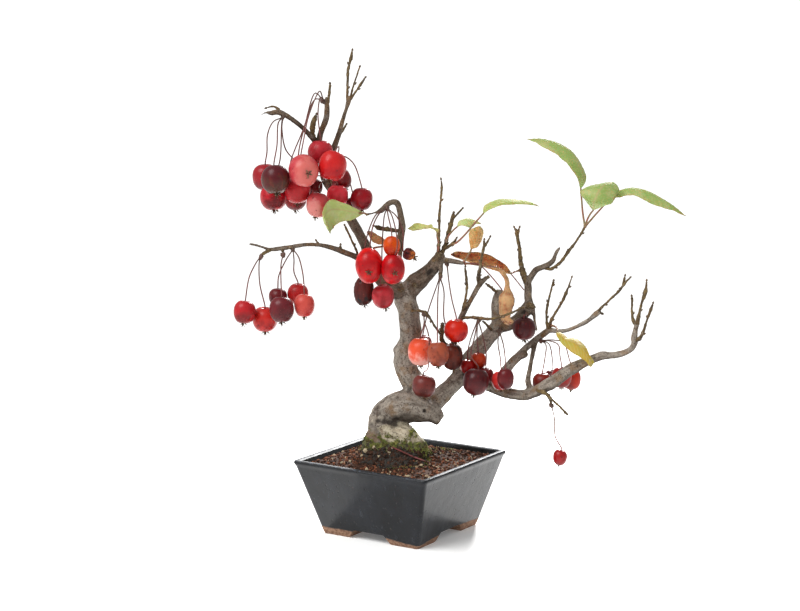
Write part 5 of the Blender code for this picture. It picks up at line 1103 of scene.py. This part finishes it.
dice = np.random.default_rng(11)
fruit_pieces, stalk_pieces = [], []
for name, (place, way, apples) in BUNCHES.items():
    fruit, stalks = Bag(), Bag()
    seat, out = seat_on(place, way, 0.4 * MM)
    knob = np.array(seat)
    for _ in range(3):
        nudge = knob + dice.normal(0, 0.5 * MM, 3)
        path = np.array([nudge - np.array(out) * 1.6 * MM, nudge, nudge + np.array(out) * 1.1 * MM])
        stalks.add(*tube(curve_through(path, 6), KNOB_RADII, 9), tint=0.0)
    for i, (entry, look) in enumerate(zip(apples, LOOKS[name])):
        across, down, depth, wide, tall, right, away, bends = entry
        centre, turn = np.array(seen(across, down, depth)), leaning(right, away)
        size = np.array([wide, wide, tall]) * STEP
        seed = 3.1 * i + 17 * len(name) + across
        points, faces, height, folds = apple(look[2], seed)
        points = points @ turn.T * size
        skin, flush = np.array(linear(look[0])[:3]), np.array(linear(look[1])[:3])
        skins, flushes = np.tile(skin, (len(points), 1)), np.tile(flush, (len(points), 1))
        fruit.add(centre + points, faces, skin=skins, flush=flushes,
                  own=points + seed, pole=height, withered=look[2], folds=folds)
        into = centre + turn @ (0, 0, 1.12) * size
        base = centre + turn @ (0, 0, 0.66) * size
        path = curve_through([knob, *[seen(*p) for p in bends], into, base], 30)
        share = np.linspace(0, 1, 31)
        swollen = 1 + 0.9 * np.exp(-((share / 0.04) ** 2)) + 0.35 * np.exp(-(((share - 1) / 0.1) ** 2))
        radii = STALK_RADIUS * swollen
        radii *= 1 + 0.08 * fractal(path, 3 * MM, 2)
        stalks.add(*tube(path, radii, 8), tint=np.repeat(share * 0.7 + 0.15, 8))
        # A calyx that faces the eye looks small, and the withered apple that points right has a large one.
        wide_calyx = size[0] * (0.62 if away < -1 else 1.8 if right > 1 else 1)
        add_calyx(stalks, centre + turn @ (0, 0, -0.84) * size, turn, wide_calyx, dice)
    fruit_pieces.append(fruit.build(name.replace("apple", "skin_of_apple", 1), []))
    stalk_pieces.append(stalks.build(name.replace("apple", "stalks_of_apple", 1), []))
    for piece in (fruit_pieces[-1], stalk_pieces[-1]):
        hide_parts(name)
print("bunches:", len(fruit_pieces))

# %% [markdown]
# Apple skin is a wax-covered membrane over wet flesh: a soft, broad shine under a thin bloom. Pigment
# lies in mottled layers, so two colours of each apple are mixed by noise and by its height, then dotted
# with pale breathing pores and a few brown scars. Withered ones are browner and matt.

# %% Apple skin
peel, tree, shader = new_finish(
    "apple_skin", IOR=1.4, Specular_IOR_Level=0.3, Coat_Weight=0.12, Coat_Roughness=0.18,
    Subsurface_Weight=0.04, Subsurface_Scale=0.002,
)
own = add_node(tree, "ShaderNodeAttribute", out="Vector", attribute_name="own")
skin = add_node(tree, "ShaderNodeAttribute", out="Color", attribute_name="skin")
flush = add_node(tree, "ShaderNodeAttribute", out="Color", attribute_name="flush")
pole = add_node(tree, "ShaderNodeAttribute", out="Fac", attribute_name="pole")
withered = add_node(tree, "ShaderNodeAttribute", out="Fac", attribute_name="withered")
fold = add_node(tree, "ShaderNodeAttribute", out="Fac", attribute_name="folds")
broad = {"Vector": own, "Scale": 1 / (8 * MM), "Detail": 4.0, "Roughness": 0.6}
mottle = add_node(tree, "ShaderNodeTexNoise", broad)
lower = add_node(tree, "ShaderNodeMath", {0: pole, 1: -0.2}, operation="MULTIPLY")
mixing = add_node(tree, "ShaderNodeMath", {0: mottle, 1: lower}, operation="ADD")
colour = faded(tree, skin, flush, mixing, 0.4, 0.72)
# Pigment runs from stalk to calyx in fine streaks, a millimetre or two apart.
streak_place = add_node(tree, "ShaderNodeMapping", {"Vector": own, "Scale": (1, 1, 0.22)})
thin = {"Vector": streak_place, "Scale": 1 / (1.6 * MM), "Detail": 3.0}
streaks = add_node(tree, "ShaderNodeTexNoise", thin)
colour = faded(tree, colour, linear("#c4402c"), streaks, 0.52, 0.78, 0.1)
cells = add_node(tree, "ShaderNodeTexVoronoi", {"Vector": own, "Scale": 1 / (1.5 * MM)}, "Distance")
pore = add_node(tree, "ShaderNodeMapRange", {0: cells, 1: 0.06, 2: 0.15, 3: 0.5, 4: 0.0})
where_pores = add_node(tree, "ShaderNodeTexNoise", {"Vector": own, "Scale": 1 / (4 * MM), "Detail": 2.0})
where_pores = add_node(tree, "ShaderNodeMapRange", {0: where_pores, 1: 0.48, 2: 0.62})
pore = add_node(tree, "ShaderNodeMath", {0: pore, 1: where_pores}, operation="MULTIPLY")
colour = faded(tree, colour, linear("#cf8a74"), pore, 0.0, 1.0, 0.7)
colour = stained(tree, colour, linear("#3c1614"), own, 3.2 * MM, 0.64, 0.7, 0.7, 4.0)
# Painted shade: the wrinkles of withered apples are darkened in the colour.
wrinkle_shade = add_node(tree, "ShaderNodeMapRange", {0: fold, 1: 0.15, 2: 0.5})
wrinkle_shade = add_node(tree, "ShaderNodeMath", {0: wrinkle_shade, 1: withered}, operation="MULTIPLY")
colour = faded(tree, colour, linear("#1c0c0c"), wrinkle_shade, 0.0, 1.0)
# The hollow round the stalk and the basin of the calyx hold shade and dust.
ends = add_node(tree, "ShaderNodeMath", {0: pole}, operation="ABSOLUTE")
colour = faded(tree, colour, linear("#3a1412"), ends, 0.93, 1.0, 0.8)
colour = add_node(tree, "ShaderNodeHueSaturation", {"Color": colour, "Saturation": 1.03, "Value": 1.1})
tree.links.new(colour, shader.inputs["Base Color"])
dull = add_node(tree, "ShaderNodeMapRange", {0: withered, 3: 0.36, 4: 0.62})
uneven = add_node(tree, "ShaderNodeMapRange", {0: mottle, 1: 0.3, 2: 0.7, 3: -0.05, 4: 0.12})
dull = add_node(tree, "ShaderNodeMath", {0: dull, 1: uneven}, operation="ADD")
tree.links.new(dull, shader.inputs["Roughness"])
relief = add_node(tree, "ShaderNodeBump", {"Height": mottle, "Distance": 0.25 * MM, "Strength": 0.3})
fine = add_node(tree, "ShaderNodeTexNoise", {"Vector": own, "Scale": 1 / (0.7 * MM), "Detail": 2.0})
grain = {"Height": fine, "Distance": 0.05 * MM, "Strength": 0.35, "Normal": relief}
relief = add_node(tree, "ShaderNodeBump", grain)
tree.links.new(relief, shader.inputs["Normal"])
for piece in fruit_pieces:
    piece.data.materials.append(peel)
print("apple skin:", len(tree.nodes), "nodes")

# %% [markdown]
# The stalks are brown at the woody spur and turn dull red toward the fruit. The calyx is dry and papery,
# and each sepal has its own shade between dark brown and straw.

# %% Stalk and dried calyx
stalk_skin, tree, shader = new_finish("stalk_skin", Roughness=0.55)
place = add_node(tree, "ShaderNodeTexCoord", out="Object")
tint = add_node(tree, "ShaderNodeAttribute", out="Fac", attribute_name="tint")
colour = faded(tree, linear("#4e3c30"), linear("#7c3c3a"), tint, 0.1, 0.7)
colour = stained(tree, colour, linear("#5c3a30"), place, 3 * MM, 0.45, 0.65)
tree.links.new(colour, shader.inputs["Base Color"])
grain = add_node(tree, "ShaderNodeTexNoise", {"Vector": place, "Scale": 1 / (0.8 * MM)})
relief = add_node(tree, "ShaderNodeBump", {"Height": grain, "Distance": 0.12 * MM, "Strength": 0.5})
tree.links.new(relief, shader.inputs["Normal"])
calyx, tree, shader = new_finish("dried_calyx", Roughness=0.85)
place = add_node(tree, "ShaderNodeTexCoord", out="Object")
tint = add_node(tree, "ShaderNodeAttribute", out="Fac", attribute_name="tint")
colour = faded(tree, linear("#2e2119"), linear("#8a7050"), tint, 0.35, 0.98)
colour = stained(tree, colour, linear("#3c2c20"), place, 1.2 * MM, 0.4, 0.6)
tree.links.new(colour, shader.inputs["Base Color"])
for piece in stalk_pieces:
    piece.data.materials.append(stalk_skin)
    piece.data.materials.append(calyx)
print("stalks and calyxes on", len(stalk_pieces), "pieces")


# %% [markdown]
# A leaf is read as two edges, station by station, in space. Between them the blade is folded along its
# rib or rolled up where it has dried, its edge is cut into teeth, and the side veins are pressed into it,
# since light across the surface shows them even at this size.

# %% Leaf shape
ROWS, COLUMNS = 60, 14
# How far each blade rolls up (radians), how deep its fold is, how ragged its edge is, and its two colours.
BLADES = {
    "leaf_left": (0.9, 0.10, 0.3, "#a8ba70", "#b4be84"),
    "leaf_crown_left": (1.6, 0.06, 0.5, "#aab468", "#b8ae70"),
    "leaf_crown_middle": (1.4, 0.1, 0.3, "#a6b670", "#b8bc80"),
    "leaf_crown_long": (0.7, 0.03, 0.2, "#98ac58", "#b4b474"),
    "leaf_ochre": (1.0, 0.05, 0.3, "#cca468", "#b88040"),
    "leaf_dry_long": (4.4, 0.0, 1.0, "#d0a468", "#9c5434"),
    "leaf_dry_hanging": (3.0, 0.0, 0.8, "#b48e62", "#8a5a3a"),
    "leaf_yellow": (0.8, 0.08, 0.3, "#a89030", "#9c963a"),
    "leaf_dry_small": (1.6, 0.05, 0.8, "#b08c5c", "#8a6040"),
    "left_blade": (1.0, 0.1, 0.3, "", ""),
    "front_blade": (0.9, 0.1, 0.3, "", ""),
    "right_blade": (1.1, 0.1, 0.3, "", ""),
}


def add_blade(bag, stations, roll, fold, ragged, seed):
    """A leaf blade between its edges, with its place across and along kept for the colour."""
    left = curve_through([seen(*a) for a, _ in stations], ROWS)
    right = curve_through([seen(*b) for _, b in stations], ROWS)
    middle, width = (left + right) / 2, right - left
    span = np.linalg.norm(width, axis=1)
    keep = span > 0.6 * MM
    steps_off = np.abs(np.arange(ROWS + 1)[~keep, None] - np.arange(ROWS + 1)[keep][None])
    width[~keep] = width[np.argmin(steps_off, axis=1) + np.argmax(keep)]
    way = width / np.linalg.norm(width, axis=1)[:, None]
    way = np.array([way[max(0, k - 3) : k + 4].mean(0) for k in range(ROWS + 1)])
    heading = np.gradient(middle, axis=0)
    normal = np.cross(way, heading)
    normal /= np.linalg.norm(normal, axis=1)[:, None]
    along = np.concatenate([[0], np.linalg.norm(np.diff(middle, axis=0), axis=1).cumsum()])
    across = np.linspace(-1, 1, COLUMNS + 1)
    tears = fractal(np.column_stack([along, 0 * along + seed, 0 * along]), 3 * MM, 3)
    teeth = 1 + 0.07 * (np.abs((along / (1.5 * MM)) % 1 - 0.7) - 0.5) + 0.10 * ragged * tears
    half = np.maximum(span, 0.3 * MM) / 2
    turn = roll / 2 * np.ones(ROWS + 1)
    circle = half / np.sin(np.minimum(turn, math.pi / 2))
    a = across[None, :] * turn[:, None]
    edge = np.where(np.abs(across)[None, :] > 0.9, teeth[:, None], 1.0)
    sideways = circle[:, None] * np.sin(a) * edge
    outward = circle[:, None] * (np.cos(a) - np.cos(turn)[:, None]) * (1 if roll < 3.5 else 0.9)
    outward += 2 * half[:, None] * fold * (1 - np.abs(across)[None, :])
    vein = np.abs(((along[:, None] - np.abs(across)[None, :] * half[:, None] * 0.9) / (3.6 * MM)) % 1 - 0.5)
    rib = np.exp(-((across[None, :] / 0.12) ** 2))
    outward += (0.16 * np.cos(vein * 2 * math.pi) * (1 - rib) * (np.abs(across) < 0.95) - 0.22 * rib) * MM
    grid = middle[:, None] + way[:, None] * sideways[..., None] + normal[:, None] * outward[..., None]
    flat = grid.reshape(-1, 3)
    waves = fractal(flat + seed, 6 * MM, 3).reshape(ROWS + 1, -1) * (0.35 + 0.8 * ragged)
    waves = waves * np.abs(across)[None, :] * np.minimum(half[:, None] / (4 * MM), 1)
    grid = grid + normal[:, None] * (waves * MM)[..., None]
    n = COLUMNS + 1
    faces = [
        [r * n + c, r * n + c + 1, (r + 1) * n + c + 1, (r + 1) * n + c]
        for r in range(ROWS)
        for c in range(COLUMNS)
    ]
    marks = {"across": np.tile(across, ROWS + 1), "along": np.repeat(along / along[-1], n)}
    marks["veins"] = np.cos(vein * 2 * math.pi).ravel()
    bag.add(grid.reshape(-1, 3), faces, 0, **marks, seed=seed)


def add_petiole(bag, start, bends, stations):
    """A leaf's stalk from its seat into the foot of the blade."""
    foot = (seen(*stations[0][0]) + seen(*stations[0][1])) / 2
    second = (seen(*stations[1][0]) + seen(*stations[1][1])) / 2
    path = curve_through([start, *[seen(*p) for p in bends], foot, foot.lerp(second, 0.4)], 24)
    radii = np.linspace(0.62, 0.4, 25) * MM
    radii[0] *= 1.7
    bag.add(*tube(path, radii, 8), 1, across=0, along=0, veins=0, seed=0)


def blade_finish(name, first, second, dry):
    """Leaf skin: mottled between two colours, paler on the veins, browner at the edge and tip."""
    made, tree, shader = new_finish(
        name, Roughness=0.66 if dry else 0.58, Specular_IOR_Level=0.3,
        Subsurface_Weight=0.1, Subsurface_Scale=0.0015,
    )
    place = add_node(tree, "ShaderNodeTexCoord", out="Object")
    across = add_node(tree, "ShaderNodeAttribute", out="Fac", attribute_name="across")
    along = add_node(tree, "ShaderNodeAttribute", out="Fac", attribute_name="along")
    veins = add_node(tree, "ShaderNodeAttribute", out="Fac", attribute_name="veins")
    side = add_node(tree, "ShaderNodeMath", {0: across}, operation="ABSOLUTE")
    ragged = add_node(tree, "ShaderNodeTexNoise", {"Vector": place, "Scale": 1 / (2.4 * MM), "Detail": 3.0})
    to_edge = add_node(tree, "ShaderNodeMath", {0: side, 1: ragged}, operation="ADD")
    to_tip = add_node(tree, "ShaderNodeMath", {0: along, 1: ragged}, operation="ADD")
    colour = stained(tree, linear(first), linear(second), place, 6 * MM, 0.42, 0.68, detail=4.0)
    colour = faded(tree, colour, linear("#4a2c20" if dry else "#9c8e58"), to_edge, 1.36, 1.62)
    colour = faded(tree, colour, linear("#6e4430" if dry else "#948c50"), to_tip, 1.34, 1.52)
    colour = faded(tree, colour, linear("#b8987c" if dry else "#bcc088"), veins, -0.4, -1.0, 0.3)
    colour = faded(tree, colour, linear("#b09c70"), side, 0.1, 0.03, 0.5)
    colour = stained(tree, colour, linear("#5c3626"), place, 1.3 * MM, 0.64 if dry else 0.71, 0.78, 0.8)
    tree.links.new(colour, shader.inputs["Base Color"])
    relief = add_node(tree, "ShaderNodeBump", {"Height": ragged, "Distance": 0.3 * MM, "Strength": 0.5})
    tree.links.new(relief, shader.inputs["Normal"])
    return made


petiole_skin, tree, shader = new_finish("petiole_skin", Roughness=0.5)
place = add_node(tree, "ShaderNodeTexCoord", out="Object")
colour = stained(tree, linear("#7a6a44"), linear("#8a4c3c"), place, 3 * MM, 0.35, 0.65)
tree.links.new(colour, shader.inputs["Base Color"])
leaf_pieces = []
for i, (name, (place, way, bends, stations)) in enumerate(LEAVES.items()):
    leaf = Bag()
    roll, fold, ragged, first, second = BLADES[name]
    add_blade(leaf, stations, roll, fold, ragged, i + 0.5)
    seat, _ = seat_on(place, way, 0.2 * MM)
    add_petiole(leaf, seat, bends, stations)
    dry = "dry" in name
    blade_skin = blade_finish(name + "_skin", first, second, dry)
    leaf_pieces.append(leaf.build("blade_of_" + name, [blade_skin, petiole_skin]))
    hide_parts(name)
shoot = Bag()
seat, _ = seat_on(SHOOT_SEAT, (0.35, 0, 1), 0.2 * MM)
for i, (name, (bends, stations)) in enumerate(SHOOT.items()):
    add_blade(shoot, stations, *BLADES[name][:3], 20.5 + i)
    add_petiole(shoot, seat, bends, stations)
blade_skin = blade_finish("shoot_skin", "#86a054", "#9fa86a", False)
leaf_pieces.append(shoot.build("blades_of_shoot", [blade_skin, petiole_skin]))
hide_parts("leaf_shoot")
for piece in leaf_pieces:
    sheet = piece.modifiers.new("leaf thickness", "SOLIDIFY")
    sheet.thickness = 0.22 * MM
    sheet.offset = 0
print("leaves:", len(leaf_pieces))


# %% [markdown]
# Bonsai soil is baked clay: hard rough grains of 1 to 3 mm, reddish brown with some tan and grey. The
# frame's soil fills the pot. A seeded scatter of grains lies on it, each a lumpy stone pressed into the
# surface, with a dark heap of old root and soil in front of the trunk and a few pale pebbles.

# %% Soil and grains
baked, tree, shader = new_finish("baked_clay_soil", Roughness=0.95, Specular_IOR_Level=0.15)
place = add_node(tree, "ShaderNodeTexCoord", out="Object")
tint = add_node(tree, "ShaderNodeAttribute", out="Fac", attribute_name="tint")
colour = stained(tree, linear("#30211a"), linear("#4c3428"), place, 3 * MM, 0.35, 0.65)
colour = faded(tree, colour, linear("#85543d"), tint, 0.25, 0.8)
colour = faded(tree, colour, linear("#c2b294"), tint, 0.88, 0.98)
colour = faded(tree, colour, linear("#3d3a36"), tint, -0.1, -0.7)
colour = stained(tree, colour, linear("#241912"), place, 0.8 * MM, 0.58, 0.74, 0.7)
tree.links.new(colour, shader.inputs["Base Color"])
crumbs = add_node(tree, "ShaderNodeTexNoise", {"Vector": place, "Scale": 1 / (1.8 * MM), "Detail": 5.0})
relief = add_node(tree, "ShaderNodeBump", {"Height": crumbs, "Distance": 1.2 * MM, "Strength": 0.8})
tree.links.new(relief, shader.inputs["Normal"])
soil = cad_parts["soil"]
soil.data.materials.clear()
soil.data.materials.append(baked)
soil_points = [v.co.copy() for v in soil.data.vertices]
ground = BVHTree.FromPolygons(soil_points, [list(p.vertices) for p in soil.data.polygons])


def ground_at(x, y):
    """The top of the soil at a place in the pot, or nothing over the hole for the roots."""
    hit = ground.ray_cast(Vector((x, y, 0.1)), Vector((0, 0, -1)))[0]
    return hit if hit and hit.z > POT_HEIGHT - 6 * MM else None


small = bmesh.new()
bmesh.ops.create_icosphere(small, subdivisions=1, radius=1)
PEBBLE_POINTS = np.array([v.co for v in small.verts])
PEBBLE_FACES = [[v.index for v in f.verts] for f in small.faces]
small.free()
dice = np.random.default_rng(23)
grains = Bag()
LOOSE_GRAINS = 1900
HEAP_LUMPS = 800
HEAP_MIDDLE = (393, 459)
HEAP_SPREAD = (14, 4.6)


def add_grain(at, size, tint, flat=0.75):
    """A lumpy stone at a place, turned at random."""
    turn = np.array(Matrix.Rotation(dice.random() * 6.3, 3, Vector(dice.normal(0, 1, 3))))
    shape = PEBBLE_POINTS * (1 + 0.22 * dice.normal(0, 1, (len(PEBBLE_POINTS), 1)).clip(-1.5, 1.5))
    shape = shape * (1, 0.7 + 0.3 * dice.random(), flat)
    grains.add(np.array(at) + shape @ turn.T * size, PEBBLE_FACES, tint=tint)


reach = side_at(POT_HEIGHT - 3 * MM) / 2 - WALL - 1.2 * MM
placed = 0
while placed < LOOSE_GRAINS:
    x, y = POT_CENTRE.x + dice.uniform(-reach, reach), POT_CENTRE.y + dice.uniform(-reach, reach)
    spot = ground_at(x, y)
    if spot:
        size = MM * (0.6 + 0.8 * dice.random() ** 2)
        if max(abs(x - POT_CENTRE.x), abs(y - POT_CENTRE.y)) + size < reach + 1.1 * MM:
            add_grain(spot + Vector((0, 0, 0.25 * size)), size, dice.random() ** 1.3)
        placed += 1
eye = camera.matrix_world.translation


def on_surface(across, down):
    """The nearest point of bark or soil that the front view shows at this place, or nothing."""
    way = (seen(across, down, 0) - eye).normalized()
    hits = [surface.ray_cast(eye, way)[0] for surface in (wood_surface, ground)]
    return min((hit for hit in hits if hit), key=lambda hit: (hit - eye).length, default=None)


# The old root plate in front of the trunk is buried in dark lumps.
for _ in range(HEAP_LUMPS):
    across, down = [dice.normal(*pair) for pair in zip(HEAP_MIDDLE, HEAP_SPREAD)]
    if 360 < across < 430 and 449 + 0.002 * (across - 396) ** 2 < down < 470:
        size = MM * dice.uniform(0.6, 1.9)
        add_grain(on_surface(across, down) + Vector((0, 0, 0.3 * size)), size, dice.uniform(-1, 0.3))
# Pale pebbles: across, down, and radius in millimetres.
PALE_PEBBLES = [
    (366, 451, 1.9), (362, 457, 1.5), (380, 457, 1.6), (389, 453, 2.0), (421, 466, 1.2), (350, 462, 0.9),
    (374, 448, 1.5), (404, 458, 1.1), (386, 462, 1.1), (392, 449, 1.2), (400, 452, 1.1),
]
for across, down, size in PALE_PEBBLES:
    add_grain(on_surface(across, down) + Vector((0, 0, 0.6 * MM)), size * MM, 1.0)
grain_piece = grains.build("soil_grains", [baked], smooth=False)
print("grains:", len(grain_piece.data.polygons), "faces")

# %% [markdown]
# Moss has crept round the foot of the trunk, and a thinner strip grows by the back rim. Each cushion is
# made of short tapered shoots, leaning a little outward, green or yellowish at the tip and dark brown below.

# %% Moss
moss, tree, shader = new_finish("moss", Roughness=0.85)
rise = add_node(tree, "ShaderNodeAttribute", out="Fac", attribute_name="rise")
tint = add_node(tree, "ShaderNodeAttribute", out="Fac", attribute_name="tint")
colour = faded(tree, linear("#75603c"), linear("#778540"), tint, 0.15, 0.4)
colour = faded(tree, colour, linear("#bcb766"), tint, 0.6, 1)
colour = faded(tree, linear("#453720"), colour, rise, 0.0, 0.7)
tree.links.new(colour, shader.inputs["Base Color"])
strands = Bag()


def add_strand(foot, lean, longest=1.7):
    """A moss shoot: a thin three-sided spike."""
    length = MM * dice.uniform(0.6, longest)
    way = (Vector((0, 0, 1)) + lean + Vector(dice.normal(0, 0.35, 3))).normalized()
    path = np.array([foot, foot + way * length * 0.6, foot + way * length + Vector((0, 0, -0.1 * length))])
    points, faces = tube(path, np.array([0.2, 0.2, 0.03]) * MM, 3)
    hue = 0.5 + 0.9 * noise.noise(foot / (2.5 * MM)) + dice.normal(0, 0.2)
    strands.add(points, faces, rise=np.repeat([0, 0.6, 1], 3), tint=min(1, max(0, hue)))


def mossy(spot, least):
    """Whether the moss has taken hold at a spot: it grows in cushions about 7 mm across."""
    return noise.noise(spot / (3.4 * MM)) > least


# Where the front view shows moss: middle, spread across, spread down, number of shoots.
MOSS_PATCHES = [
    (412, 447, 8, 3.2, 2600), (384, 446, 8, 3.4, 1700), (366, 439, 3, 5, 500),
    (424, 455, 3.5, 4.5, 1100), (366, 452, 4, 4, 500), (402, 466, 9, 2.5, 350),
    (365, 434, 3, 5, 600), (384, 440, 5, 2.4, 800), (413, 433, 2.2, 4.5, 500),
]
for across, down, wide, tall, count in MOSS_PATCHES:
    for _ in range(count):
        spot = on_surface(dice.normal(across, wide), dice.normal(down, tall))
        if spot and POT_HEIGHT - 6 * MM < spot.z < MOSS_TOP + 6 * MM and mossy(spot, -0.02):
            add_strand(spot, facing(0, -0.45, 0))
# Behind the trunk the moss lies in a half ring round the root crown.
CROWN_MIDDLE = (394, 447, 0)
crown = seen(*CROWN_MIDDLE)
for _ in range(3200):
    angle = dice.uniform(0, math.pi)
    away = 15 * MM + abs(dice.normal(0, 3 * MM))
    spot = ground_at(*(crown + facing(math.cos(angle), math.sin(angle), 0) * away).xy)
    if spot and mossy(spot, 0.0):
        add_strand(spot, facing(math.cos(angle), math.sin(angle), 0) * 0.3)
# A thinner strip grows by the back rim.
for _ in range(420):
    spot = seen(dice.normal(447, 7), 440, dice.normal(30, 3))
    low = ground_at(spot.x, spot.y)
    if low and mossy(low, -0.05):
        add_strand(low, Vector((0, 0, 0)), 1.3)
moss_piece = strands.build("moss_shoots", [moss])
print("moss:", len(moss_piece.data.polygons), "faces")

# %% [markdown]
# One dark red twig has dropped onto the soil in front of the trunk. A thin bare stalk still hangs in an arc
# from the crown arm to the hanging dry leaf, and a short one joins the long dry leaf to the fork.

# %% Fallen twig and bare stalk
loose = Bag()
FALLEN_TWIG = [(392, 450), (401, 454), (412, 459), (425, 464)]
DRY_END = [(511, 274, 4), (516, 280, 10), (524, 290, 14)]
lying = [on_surface(*p) + facing(0, -1.2 * MM, 2.2 * MM) for p in FALLEN_TWIG]
BARE_ARC = [
    (463, 263, -12), (475, 263.5, -10), (482, 267, -9), (490, 275, -8), (500, 287, -8), (502.5, 291, -8)
]
for points, radius in (
    (lying, 0.6 * MM),
    ([seen(*p) for p in BARE_ARC], 0.42 * MM),
    ([seen(*p) for p in DRY_END], 0.38 * MM),
):
    path = curve_through(points, 30)
    loose.add(*tube(path, radius * (1 + 0.2 * fractal(path, 2 * MM, 2)), 8), tint=0.9)
loose_piece = loose.build("fallen_twig_and_bare_stalk", [stalk_skin])
print("loose bits:", len(loose_piece.data.polygons), "faces")


# %% [markdown]
# A plain studio: a pale floor that runs on behind the tree under a bright even sky. A wide soft sun from
# above and the left gives the trunk its round shape, and a lamp behind brightens the floor there, which
# is what the glaze of the pot's right face mirrors.

# %% Floor and lights
bpy.context.scene.view_settings.view_transform = "Standard"
# Half the floor's side, in metres.
FLOOR_HALF = 40.0
corners = [(-1, -1), (1, -1), (1, 1), (-1, 1)]
floor_mesh = bpy.data.meshes.new("floor")
floor_mesh.from_pydata([(x * FLOOR_HALF, y * FLOOR_HALF, 0) for x, y in corners], [], [(0, 1, 2, 3)])
floor = bpy.data.objects.new("floor", floor_mesh)
bpy.context.scene.collection.objects.link(floor)
paper, tree, shader = new_finish(
    "pale_paper", Roughness=0.9, Specular_IOR_Level=0.0, Emission_Color=(1, 1, 1, 1), Emission_Strength=0.12
)
place = add_node(tree, "ShaderNodeTexCoord", out="Object")
shade = stained(tree, linear("#f6f6f5"), linear("#fbfbfa"), place, 0.4, 0.3, 0.7)
tree.links.new(shade, shader.inputs["Base Color"])
floor_mesh.materials.append(paper)
world = bpy.data.worlds.new("studio")
world.use_nodes = True
sky = world.node_tree.nodes["Background"]
sky.inputs["Color"].default_value = (1.0, 1.0, 1.0, 1)
sky.inputs["Strength"].default_value = 0.54
bpy.context.scene.world = world


def lamp(name, kind, place, target, energy, **settings):
    """A lamp at a place of the front view that faces a target."""
    data = bpy.data.lights.new(name, kind)
    data.energy = energy
    for setting, value in settings.items():
        setattr(data, setting, value)
    made = bpy.data.objects.new(name, data)
    bpy.context.scene.collection.objects.link(made)
    at = POT_CENTRE + facing(*place)
    made.matrix_world = Matrix.Translation(at) @ (at - target).to_track_quat("Z", "Y").to_matrix().to_4x4()


tree_middle = POT_CENTRE + Vector((0, 0, 0.16))
lamp("soft_sun", "SUN", (-1.2, -0.9, 1.9), tree_middle, 2.6, angle=math.radians(40))
behind_right = POT_CENTRE + facing(0.05, 0.22, 0)
lamp("floor_glow", "SPOT", (0.35, 1.3, 0.7), behind_right, 330, spot_size=math.radians(24), spot_blend=1.0,
     shadow_soft_size=0.15, specular_factor=0.0)
print("lamps: soft_sun, floor_glow")
